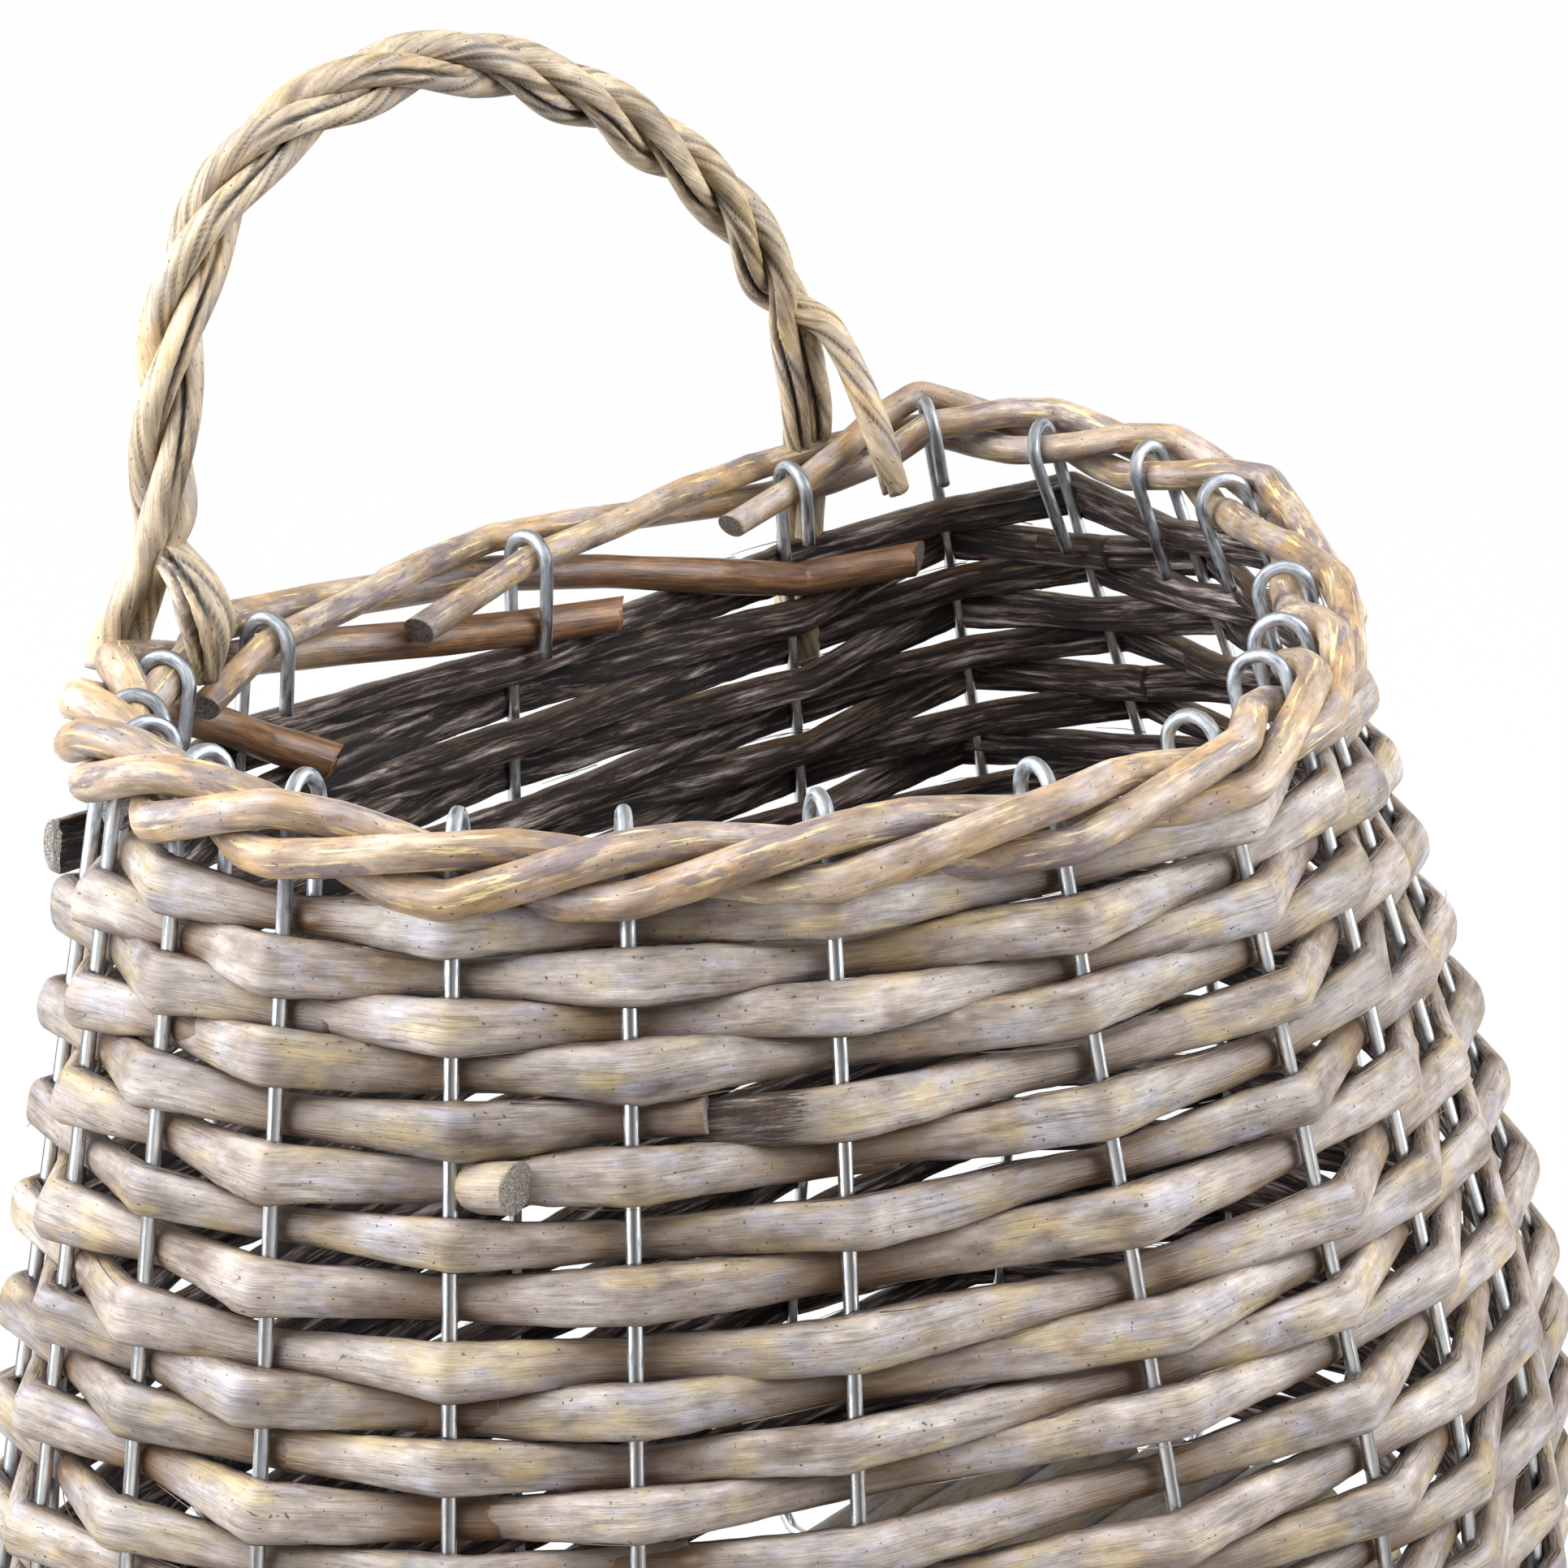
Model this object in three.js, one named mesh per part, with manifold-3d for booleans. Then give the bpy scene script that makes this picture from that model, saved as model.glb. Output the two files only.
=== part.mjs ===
// Wall basket: split willow woven on galvanised wire stakes, with a waled border of whole rods,
// a twisted rod handle and a base of split rods laid side by side on the turned-in stakes.
// Millimetres, +Z up. The flat back faces +Y, where the wall is, and the front bulges towards -Y.
// It stands on z = 0, with the origin under the middle of its outline.
import * as THREE from 'three';
import { mergeVertices } from 'three/addons/utils/BufferGeometryUtils.js';
import Module from 'manifold-3d';

const wasm = await Module();
wasm.setup();

// The body, measured to the centre line of the stakes
const mouthHalfWidth = 120.6;
const mouthDepth = 162;
const crownHeight = 246;
const bellyDrop = 190;
const straightDrop = 115;
const flareShare = 0.345;
const baseLeanShare = -0.3;
const cornerDepthShare = 0.4146;
const frontPowerShare = 1.61;
const backPowerShare = 3.09;

// Each stake's place round the plan in degrees, at the crown of its hook and at the belly.
// 90 is the middle of the back, 180 the left side and 270 the middle of the front.
const stakeCrownAngles = [
  117, 86, 55, 39, 22, 1, -15.5, -45.5, -60.5, -71, -87.5, -105, -125, -143, -158.5, -174,
  -191, -206, -217, -228,
];
const stakeBellyAngles = [
  117, 90, 64, 46, 22, 1, -15.5, -45.5, -69, -85, -93, -107, -131, -145, -157, -170.5,
  -183, -199, -217, -228,
];
// How far each stake's crown stands above the level one, as a share of the border rods'
// diameter. The unevenness fades out down the wall.
const stakeRiseShares = [
  0, -0.45, -0.7, 0.55, 0, 0, 0, 0, 0, 0, 0, 0, 0.15, 0.15, 0.2, 0.4, 0.3, 0.25, 0.2, 0.25,
];

const riseFade = 120;

// Wire stakes
const wireDiameter = 2.5;
const wireClearance = 0.48;
const tailLength = 17;
const tailLengthShares = [
  0.7, 1.05, 0.6, 0.65, 1.25, 1.3, 1, 1, 1, 1, 1, 1, 1, 1, 1, 1, 1, 1, 1, 1,
];
const footLength = 26;
const footBendRadius = 3.2;

// Border rods, which taper from butt to tip
const rodDiameter = 6;
const tipDiameter = 4.6;
const rodClearance = 1;
const buttOverrun = 25;
const buttSplay = 4.2;
const buttDip = 8;
const buttOverrunShares = [1, 0.95, 0.75];
const buttDipShares = [0.35, 0.1, 0.8];
const tipOverrun = 31;
const tipOverrunShares = [1, 0.3, 0.6];
const tipDip = 5;
const tipSplay = 4;

// Woven rows of split rods
const rowCount = 28;
const firstRowDrop = 18.6;
const lastRowRise = 14.9;
const rowClearance = 0.38;
const weaverThickness = 3.8;
const weaverEndGap = 0.8;
// The first row lies lower along the back, under the border rods' cut ends, and the rows under
// it are closer there. The shares give how much of that each stake has.
const backRowDip = 7.4;
const backRowDipShares = [1, 1, 1, 0.5, 0, 0, 0, 0, 0, 0, 0, 0, 0, 0, 0, 0, 0, 0, 0, 0.5];

// Handle of three twisted rods
const strandCount = 3;
const strandDiameter = 5;
const strandClearance = 0.75;
const handleHalfSpan = 87;
const handleRise = 88;
const handleSetback = 4;
const handleTurnCount = 11 / 3;
const twistStartShare = -0.25;
const legClearance = 0.5;
// At each foot one rod goes down inside the border and two outside it. The left foot lies
// between stakes 20 and 1, and the right one between stakes 3 and 4.
const insideLegPlaceShares = [19.3, 2.56];
const outsideLegPlaceShares = [19.3, 2.12];
const leftInsideDrop = 10;
const rightInsideDrop = 12;
const leftOutsideDrop = 24;
const rightOutsideDrop = 48;
// The handle's centre line from the left foot to the right one, as shares of half its span and
// of its rise above the crowns
const handleLineShares = [
  [-0.91, 0.12], [-0.9, 0.27], [-0.885, 0.42], [-0.84, 0.63], [-0.73, 0.82], [-0.56, 0.935],
  [-0.26, 1], [0, 0.985], [0.37, 0.83], [0.73, 0.58], [0.9, 0.37], [0.965, 0.2], [0.98, 0.12],
];

// Base of laid split rods
const baseRodPitch = 11.5;
const baseThickness = 6.4;
const baseSeamThickness = 4;
const baseClearance = 0.3;

const weaverColour = 0x9c9283;
const rodColour = 0xb79a78;
const handleColour = 0xb5a684;
const baseColour = 0x7d7164;
const wireColour = 0x8f9498;

const stakeCount = stakeCrownAngles.length;
const wireRadius = wireDiameter / 2;
const wireSides = 6;
const footHeight = wireRadius * Math.cos(Math.PI / wireSides);
const rodRadius = rodDiameter / 2;
const tipRadius = tipDiameter / 2;
const hookRadius = wireRadius + wireClearance + rodRadius;
const weaveOffset = wireRadius + wireClearance + weaverThickness / 2;
const lastRowDrop = crownHeight - lastRowRise;
const frontRowPitch = (lastRowDrop - firstRowDrop) / (rowCount - 1);
const backRowPitch = (lastRowDrop - firstRowDrop - backRowDip) / (rowCount - 1);
const weaverHeight = backRowPitch - rowClearance;
const up = new THREE.Vector3(0, 0, 1);
const smallDrop = frontRowPitch / 100;
const smallAngle = 0.05;

// Sweeps a section along a path as one closed solid. Each station has a centre, two directions
// across the path and its section's corners, given as [across, upward] pairs.
function loftStations(stations) {
  const positions = [];
  const triangles = [];
  const sides = stations[0].corners.length;
  for (const { centre, across, upward, corners } of stations) {
    for (const [x, y] of corners) {
      const corner = centre.clone().addScaledVector(across, x).addScaledVector(upward, y);
      positions.push(corner.x, corner.y, corner.z);
    }
  }
  for (let ring = 0; ring + 1 < stations.length; ring += 1) {
    for (let side = 0; side < sides; side += 1) {
      const next = (side + 1) % sides;
      const a = ring * sides + side;
      const b = ring * sides + next;
      triangles.push(a, b, b + sides, a, b + sides, a + sides);
    }
  }
  const last = (stations.length - 1) * sides;
  for (let side = 1; side + 1 < sides; side += 1) {
    triangles.push(0, side + 1, side);
    triangles.push(last, last + side, last + side + 1);
  }
  const geometry = new THREE.BufferGeometry();
  geometry.setAttribute('position', new THREE.Float32BufferAttribute(positions, 3));
  geometry.setIndex(triangles);
  return facingOut(geometry);
}

// Turns the triangles over if the solid they close has a negative volume.
function facingOut(geometry) {
  const position = geometry.getAttribute('position');
  const index = geometry.getIndex().array;
  const corner = [new THREE.Vector3(), new THREE.Vector3(), new THREE.Vector3()];
  let volume = 0;
  for (let first = 0; first < index.length; first += 3) {
    corner.forEach((point, place) => point.fromBufferAttribute(position, index[first + place]));
    volume += corner[0].dot(corner[1].clone().cross(corner[2]));
  }
  if (volume < 0) {
    const flipped = Array.from(index);
    for (let first = 0; first < flipped.length; first += 3) {
      [flipped[first + 1], flipped[first + 2]] = [flipped[first + 2], flipped[first + 1]];
    }
    geometry.setIndex(flipped);
  }
  geometry.computeVertexNormals();
  return geometry;
}

// A round rod through the points, with a radius at each of them. The directions across it are
// carried from point to point without twist.
function roundRod(points, radii, sides, firstAcross) {
  const stations = [];
  const across = firstAcross.clone();
  points.forEach((centre, place) => {
    const before = points[Math.max(place - 1, 0)];
    const after = points[Math.min(place + 1, points.length - 1)];
    const along = after.clone().sub(before).normalize();
    across.addScaledVector(along, -across.dot(along)).normalize();
    const upward = along.clone().cross(across);
    const corners = [];
    for (let side = 0; side < sides; side += 1) {
      const angle = (2 * Math.PI * (side + 0.5)) / sides;
      corners.push([radii[place] * Math.cos(angle), radii[place] * Math.sin(angle)]);
    }
    stations.push({ centre, across: across.clone(), upward, corners });
  });
  return loftStations(stations);
}

// How far the wall stands out past the mouth at a drop below the crowns: a straight flare that
// turns in evenly from its end down to the base.
function wallSpread(drop) {
  const turned = Math.max(drop - straightDrop, 0);
  const turnShare = (flareShare - baseLeanShare) / (crownHeight - straightDrop);
  return flareShare * drop - (turnShare * turned ** 2) / 2;
}

// The plan of the wall at a drop below the crowns: a D with a nearly straight back at y = 0.
function wallPoint(degrees, drop) {
  const spread = wallSpread(drop);
  const halfWidth = mouthHalfWidth + spread;
  const depth = mouthDepth + spread;
  const cornerDepth = cornerDepthShare * depth;
  const angle = THREE.MathUtils.degToRad(degrees);
  const cosine = Math.cos(angle);
  const sine = Math.sin(angle);
  const power = sine > 0 ? backPowerShare : frontPowerShare;
  const reach = (Math.abs(cosine) ** power + Math.abs(sine) ** power) ** (-1 / power);
  const half = sine > 0 ? cornerDepth : depth - cornerDepth;
  return new THREE.Vector3(
    halfWidth * reach * cosine,
    half * reach * sine - cornerDepth,
    crownHeight - drop,
  );
}

// A point of the wall with the directions out of the basket and up along the wall
function wallFrame(degreesAt, drop) {
  const lower = Math.min(drop + smallDrop, crownHeight);
  const higher = lower - 2 * smallDrop;
  const degrees = degreesAt(drop);
  const point = wallPoint(degrees, drop);
  const round = wallPoint(degrees + smallAngle, drop).sub(wallPoint(degrees - smallAngle, drop));
  const rise = wallPoint(degreesAt(higher), higher).sub(wallPoint(degreesAt(lower), lower));
  rise.normalize();
  const outward = round.cross(up);
  outward.addScaledVector(rise, -outward.dot(rise)).normalize();
  return { point, outward, rise };
}

const hookCentreDrop = hookRadius + wireRadius;
const bendTopDrop = crownHeight - footHeight - footBendRadius;
const turnedStations = 5;
const stationDrops = [hookCentreDrop, (hookCentreDrop + straightDrop) / 2, straightDrop];
for (let station = 1; station <= turnedStations; station += 1) {
  stationDrops.push(THREE.MathUtils.lerp(straightDrop, bendTopDrop, station / turnedStations));
}

function stakeDegrees(stake, drop) {
  const turn = stakeBellyAngles[stake] - stakeCrownAngles[stake];
  return stakeCrownAngles[stake] + turn * Math.min(drop / bellyDrop, 1);
}

function stakePoint(stake, drop) {
  const point = wallPoint(stakeDegrees(stake, drop), drop);
  point.z += stakeRiseShares[stake] * rodDiameter * Math.max(1 - drop / riseFade, 0);
  return point;
}

// A point on a stake, which runs straight from station to station
function stakeFrame(number, drop) {
  const stake = ((number % stakeCount) + stakeCount) % stakeCount;
  let station = 0;
  while (station + 2 < stationDrops.length && drop > stationDrops[station + 1]) {
    station += 1;
  }
  const [high, low] = [stationDrops[station], stationDrops[station + 1]];
  const top = stakePoint(stake, high);
  const bottom = stakePoint(stake, low);
  const { outward } = wallFrame((depth) => stakeDegrees(stake, depth), drop);
  const rise = top.clone().sub(bottom).normalize();
  outward.addScaledVector(rise, -outward.dot(rise)).normalize();
  return { point: top.lerp(bottom, (drop - high) / (low - high)), outward, rise };
}

// Wire stake: foot turned in under the base, wall, hook over the border's inside rod, and tail
const hookDegrees = [0, 40, 75, 110, 145, 180];

function wireStake(stake) {
  const foot = stakeFrame(stake, crownHeight - footHeight);
  const inward = foot.outward.clone().setZ(0).normalize().negate();
  const bend = new THREE.QuadraticBezierCurve3(
    foot.point.clone().addScaledVector(inward, footBendRadius),
    foot.point,
    stakeFrame(stake, bendTopDrop).point,
  );
  const points = [foot.point.clone().addScaledVector(inward, footLength), ...bend.getPoints(2)];
  for (const drop of stationDrops.slice(1, -1).reverse()) {
    points.push(stakePoint(stake, drop));
  }
  const top = stakeFrame(stake, hookCentreDrop);
  const hookCentre = top.point.clone().addScaledVector(top.outward, -hookRadius);
  for (const degrees of hookDegrees) {
    const angle = THREE.MathUtils.degToRad(degrees);
    const point = hookCentre.clone().addScaledVector(top.outward, hookRadius * Math.cos(angle));
    points.push(point.addScaledVector(top.rise, hookRadius * Math.sin(angle)));
  }
  const tail = tailLengthShares[stake] * tailLength;
  points.push(points.at(-1).clone().addScaledVector(top.rise, -tail));
  return roundRod(points, points.map(() => wireRadius), wireSides, up);
}

// Split-rod weaver: one row of the wall, in front of one stake and behind the next, with its
// flat face inwards. Both ends lie behind the same back stake.
const weaverCornerShares = [[-0.5, -0.5], [0.2, -0.4], [0.5, 0], [0.2, 0.4], [-0.5, 0.5]];
const weaverCorners = weaverCornerShares.map(([thick, high]) => [
  thick * weaverThickness,
  high * weaverHeight,
]);

function rowDrop(row, stake) {
  const first = firstRowDrop + backRowDip * backRowDipShares[(stake + stakeCount) % stakeCount];
  return THREE.MathUtils.lerp(first, lastRowDrop, row / (rowCount - 1));
}

function weaverStation(row, stake, side, shift) {
  const { point, outward, rise } = stakeFrame(stake, rowDrop(row, stake));
  const along = rise.clone().cross(outward);
  const centre = point.addScaledVector(outward, side * weaveOffset).addScaledVector(along, shift);
  return { centre, across: outward, upward: rise, corners: weaverCorners };
}

function weaverRow(row) {
  const firstStake = row % 2 === 0 ? 1 : 2;
  const stations = [weaverStation(row, firstStake, -1, weaverEndGap / 2)];
  for (let step = 1; step < stakeCount; step += 1) {
    const side = step % 2 === 0 ? -1 : 1;
    stations.push(weaverStation(row, firstStake - step, side, 0));
  }
  stations.push(weaverStation(row, firstStake, -1, -weaverEndGap / 2));
  return loftStations(stations);
}

// Border: three rods, each inside one stake and outside the next two. One lap repeats this
// route over three stakes, in shares of the hook's radius outwards and of the rods' spacing
// downwards from the upper outside rod.
const waleRouteShares = [
  [-1, 0.35], [-0.55, 0.88], [0.28, 1.06],
  [1, 1], [1.22, 0.82], [1.22, 0.24],
  [1, 0], [0.28, 0], [-0.6, 0.17],
];
// A rod starts low inside its first stake and climbs past the first row to the route. Each step
// gives the share outwards, and how much is left of the drop at the start.
const waleStartShares = [[-1, 1], [-0.9, 0.6], [0, 0.25]];
const waleStartDropShares = [3.2, 2.24, 2.78];
const waleSteps = 3;
const waleStrokes = waleRouteShares.length / waleSteps;
const rodSpacing = rodDiameter + rodClearance;
const upperRodDrop = hookCentreDrop - waleRouteShares[0][1] * rodSpacing;
const rodSides = 6;
const firstWaleStake = 2;
const waleLaps = [21, 21, 18];

function borderPoint(turn, step, [outwardShare, downShare]) {
  const drop = upperRodDrop + downShare * rodSpacing;
  const ends = [turn, turn + 1].map((place) => {
    const { point, outward } = stakeFrame(firstWaleStake - place, drop);
    return point.addScaledVector(outward, outwardShare * hookRadius);
  });
  return ends[0].lerp(ends[1], step / waleSteps);
}

function waleStart(rod, step) {
  const [outwardShare, leftShare] = waleStartShares[step];
  const lowest = waleStartDropShares[rod];
  return [outwardShare, THREE.MathUtils.lerp(waleRouteShares[waleSteps][1], lowest, leftShare)];
}

function borderRod(rod) {
  const points = [];
  const stakesPassed = waleLaps[rod];
  for (let stroke = 0; stroke < stakesPassed; stroke += 1) {
    for (let step = 0; step < waleSteps; step += 1) {
      const place = (stroke % waleStrokes) * waleSteps + step;
      const shares = stroke === 0 ? waleStart(rod, step) : waleRouteShares[place];
      points.push(borderPoint(rod + stroke, step, shares));
    }
  }
  points.push(borderPoint(rod + stakesPassed, 0, waleRouteShares[0]));
  const buttWay = stakeFrame(firstWaleStake - rod + 1, upperRodDrop).point;
  buttWay.sub(stakeFrame(firstWaleStake - rod, upperRodDrop).point).normalize();
  const splay = stakeFrame(firstWaleStake - rod, upperRodDrop).outward;
  const buttLength = buttOverrun * buttOverrunShares[rod];
  const butt = points[0].clone().addScaledVector(buttWay, buttLength);
  butt.addScaledVector(splay, -buttSplay).addScaledVector(up, -buttDip * buttDipShares[rod]);
  points.unshift(butt);
  const tipWay = stakeFrame(firstWaleStake - rod - stakesPassed - 1, upperRodDrop).point;
  tipWay.sub(stakeFrame(firstWaleStake - rod - stakesPassed, upperRodDrop).point).normalize();
  const tipLength = tipOverrun * tipOverrunShares[rod];
  const tip = points.at(-1).clone().addScaledVector(tipWay, tipLength);
  tip.addScaledVector(up, -tipDip * tipOverrunShares[rod]);
  const tipOutward = stakeFrame(firstWaleStake - rod - stakesPassed, upperRodDrop).outward;
  points.push(tip.addScaledVector(tipOutward, -tipSplay * tipOverrunShares[rod]));
  const radii = points.map((_, place) => {
    return THREE.MathUtils.lerp(rodRadius, tipRadius, place / (points.length - 1));
  });
  return roundRod(points, radii, rodSides, up);
}

// Handle: three rods twisted together along an arch, each going down into the border at its feet
const strandRadius = strandDiameter / 2;
const twistRadius = (strandDiameter + strandClearance) / Math.sqrt(3);
const insideReach = hookRadius + rodRadius + legClearance + strandRadius;
const outsideReach = waleRouteShares[4][0] * hookRadius + rodRadius + legClearance + strandRadius;
const legSpread = strandDiameter / 2 + strandClearance;
const strandSides = 6;
const stepsPerTurn = 8;
const handleLine = new THREE.CatmullRomCurve3(
  handleLineShares.map(([across, rise]) => {
    const height = crownHeight + rise * handleRise;
    return new THREE.Vector3(across * handleHalfSpan, -handleSetback, height);
  }),
);

function strandPoint(strand, share) {
  const along = handleLine.getTangentAt(share);
  const backward = new THREE.Vector3(0, 1, 0);
  const sideways = along.clone().cross(backward);
  const angle = 2 * Math.PI * (twistStartShare + strand / strandCount - handleTurnCount * share);
  const point = handleLine.getPointAt(share);
  point.addScaledVector(sideways, twistRadius * Math.cos(angle));
  return point.addScaledVector(backward, twistRadius * Math.sin(angle));
}

// A point of the border between two stakes, with the directions out of it and along it
function footFrame(place, drop) {
  const stake = Math.floor(place);
  const start = stakeFrame(stake, drop).point;
  const end = stakeFrame(stake + 1, drop).point;
  const sideways = end.clone().sub(start).setZ(0).normalize();
  const outward = up.clone().cross(sideways);
  return { point: start.lerp(end, place - stake), outward, sideways };
}

const insideDrops = [leftInsideDrop, rightInsideDrop];
const outsideDrops = [leftOutsideDrop, rightOutsideDrop];

// The leg that a strand makes at a foot, from the top down, led by where the strand arrives
function strandLeg(strand, foot) {
  const arrival = strandPoint(strand, foot);
  const middle = handleLine.getPointAt(foot);
  const inside = arrival.y < middle.y - twistRadius / 2;
  const side = inside ? 0 : Math.sign(arrival.x - middle.x);
  const reach = inside ? -insideReach : outsideReach;
  const place = inside ? insideLegPlaceShares[foot] : outsideLegPlaceShares[foot];
  const drops = [0, hookCentreDrop, inside ? insideDrops[foot] : outsideDrops[foot]];
  return drops.map((drop) => {
    const { point, outward, sideways } = footFrame(place, drop);
    return point.addScaledVector(outward, reach).addScaledVector(sideways, side * legSpread);
  });
}

function handleStrand(strand) {
  const steps = Math.round(handleTurnCount * stepsPerTurn);
  const points = strandLeg(strand, 0).reverse();
  for (let step = 0; step <= steps; step += 1) {
    points.push(strandPoint(strand, step / steps));
  }
  points.push(...strandLeg(strand, 1));
  return roundRod(points, points.map(() => strandRadius), strandSides, new THREE.Vector3(0, 1, 0));
}

// Base: split rods laid side by side from left to right, round side up, cut to the plan. The
// stakes' feet lie in grooves in its flat underside, flush with it.
const baseArcPoints = 4;
const baseOutlinePoints = 48;

function solidOf(geometry) {
  geometry.deleteAttribute('normal');
  geometry.deleteAttribute('uv');
  const merged = mergeVertices(geometry);
  const mesh = new wasm.Mesh({
    numProp: 3,
    vertProperties: new Float32Array(merged.getAttribute('position').array),
    triVerts: new Uint32Array(merged.getIndex().array),
  });
  return new wasm.Manifold(mesh);
}

function geometryOf(solid) {
  const mesh = solid.getMesh();
  const geometry = new THREE.BufferGeometry();
  geometry.setAttribute('position', new THREE.Float32BufferAttribute(mesh.vertProperties, 3));
  geometry.setIndex(Array.from(mesh.triVerts));
  geometry.computeVertexNormals();
  return geometry;
}

function basePlan() {
  const outline = new THREE.Shape();
  for (let place = 0; place < baseOutlinePoints; place += 1) {
    const degrees = (360 * place) / baseOutlinePoints;
    const { point, outward } = wallFrame(() => degrees, crownHeight - footHeight);
    const inward = outward.setZ(0).normalize().negate();
    point.addScaledVector(inward, footBendRadius);
    if (place === 0) {
      outline.moveTo(point.x, point.y);
    } else {
      outline.lineTo(point.x, point.y);
    }
  }
  outline.closePath();
  const geometry = new THREE.ExtrudeGeometry(outline, {
    depth: 2 * baseThickness,
    bevelEnabled: false,
  });
  return geometry.translate(0, 0, -baseThickness / 2);
}

function baseRods() {
  const halfWidth = mouthHalfWidth + wallSpread(crownHeight);
  const depth = mouthDepth + wallSpread(crownHeight);
  const count = Math.ceil(depth / baseRodPitch);
  const section = new THREE.Shape();
  section.moveTo(0, 0);
  for (let rod = 0; rod < count; rod += 1) {
    for (let step = 0; step <= baseArcPoints; step += 1) {
      const share = step / baseArcPoints;
      const crown = baseThickness - baseSeamThickness;
      const height = baseSeamThickness + crown * Math.sin(Math.PI * share);
      if (step > 0 || rod === 0) {
        section.lineTo((rod + share) * baseRodPitch, height);
      }
    }
  }
  section.lineTo(count * baseRodPitch, 0);
  section.closePath();
  const geometry = new THREE.ExtrudeGeometry(section, {
    depth: 2 * halfWidth,
    bevelEnabled: false,
  });
  geometry.rotateX(Math.PI / 2).rotateZ(-Math.PI / 2);
  return geometry.translate(halfWidth, 0, 0);
}

// The room that a stake's foot takes in the base, from outside the plan to just past its end
function footGroove(stake) {
  const foot = stakeFrame(stake, crownHeight - footHeight);
  const inward = foot.outward.clone().setZ(0).normalize().negate();
  const start = foot.point.addScaledVector(inward, -footBendRadius);
  const length = footBendRadius + footLength + baseClearance;
  const groove = new THREE.BoxGeometry(
    length,
    wireDiameter + 2 * baseClearance,
    4 * footHeight + 2 * baseClearance,
  );
  groove.rotateZ(Math.atan2(inward.y, inward.x));
  start.addScaledVector(inward, length / 2).setZ(0);
  return groove.translate(start.x, start.y, start.z);
}

function wovenBase() {
  let base = solidOf(baseRods()).intersect(solidOf(basePlan()));
  for (let stake = 0; stake < stakeCount; stake += 1) {
    base = base.subtract(solidOf(footGroove(stake)));
  }
  return geometryOf(base);
}

function piece(name, geometry, colour, roughness, metalness) {
  const material = new THREE.MeshStandardMaterial({ color: colour, roughness, metalness });
  const mesh = new THREE.Mesh(geometry, material);
  mesh.name = name;
  return mesh;
}

const twoDigits = (number) => String(number).padStart(2, '0');

const basket = new THREE.Group();
basket.name = 'wall_basket';
for (let stake = 0; stake < stakeCount; stake += 1) {
  const name = `wire_stake_${twoDigits(stake + 1)}`;
  basket.add(piece(name, wireStake(stake), wireColour, 0.38, 0.9));
}
for (let row = 0; row < rowCount; row += 1) {
  const name = `weaver_row_${twoDigits(row + 1)}`;
  basket.add(piece(name, weaverRow(row), weaverColour, 0.75, 0));
}
for (let rod = 0; rod < waleLaps.length; rod += 1) {
  basket.add(piece(`border_rod_${rod + 1}`, borderRod(rod), rodColour, 0.6, 0));
}
for (let strand = 0; strand < strandCount; strand += 1) {
  basket.add(piece(`handle_strand_${strand + 1}`, handleStrand(strand), handleColour, 0.65, 0));
}
basket.add(piece('base_mat', wovenBase(), baseColour, 0.8, 0));

const outline = new THREE.Box3().setFromObject(basket);
const middle = outline.getCenter(new THREE.Vector3());
basket.position.set(-middle.x, -middle.y, -outline.min.z);

export default basket;
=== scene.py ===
"""Wall basket of split willow on galvanised wire stakes, with a waled border and a twisted handle.

Shapes are worked out in millimetres on the stakes' own axes (back at y = 0, front towards -y) and
are put into the part's frame, in metres, when each mesh is made.
"""
import math

import bpy
import numpy as np
from mathutils import Matrix


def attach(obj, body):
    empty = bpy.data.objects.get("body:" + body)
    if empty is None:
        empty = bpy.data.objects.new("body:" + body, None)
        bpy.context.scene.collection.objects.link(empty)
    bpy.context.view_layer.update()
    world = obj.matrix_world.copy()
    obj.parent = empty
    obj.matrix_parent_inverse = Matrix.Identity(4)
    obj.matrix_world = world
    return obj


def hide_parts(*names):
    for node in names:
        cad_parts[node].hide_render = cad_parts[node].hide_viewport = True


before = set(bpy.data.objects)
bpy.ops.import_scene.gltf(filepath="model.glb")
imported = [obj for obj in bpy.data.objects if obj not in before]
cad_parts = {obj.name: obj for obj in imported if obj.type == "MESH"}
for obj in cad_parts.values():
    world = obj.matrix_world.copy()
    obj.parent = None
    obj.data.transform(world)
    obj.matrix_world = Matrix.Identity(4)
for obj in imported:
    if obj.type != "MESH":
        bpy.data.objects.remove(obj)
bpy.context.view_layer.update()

MM = 0.001
OUTLINE_MIDDLE = (-0.072, -105.281)  # where the part's frame has its origin

# The wall, on the stakes' centre lines: the mouth, the height, the drops to the belly and to the
# end of the straight flare, the slopes, the shape of the plan, and each stake's angle on it
MOUTH_HALF_WIDTH = 120.6
MOUTH_DEPTH = 162.0
CROWN_HEIGHT = 246.0
BELLY_DROP = 190.0
STRAIGHT_DROP = 115.0
FLARE = 0.345
BASE_LEAN = -0.3
CORNER_SHARE = 0.4146
FRONT_POWER = 1.61
BACK_POWER = 3.09
CROWN_ANGLES = np.array([117, 86, 55, 39, 22, 1, -15.5, -45.5, -60.5, -71, -87.5, -105, -125, -143,
                         -158.5, -174, -191, -206, -217, -228])
BELLY_ANGLES = np.array([117, 90, 64, 46, 22, 1, -15.5, -45.5, -69, -85, -93, -107, -131, -145,
                         -157, -170.5, -183, -199, -217, -228])
STAKES = len(CROWN_ANGLES)
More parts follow.
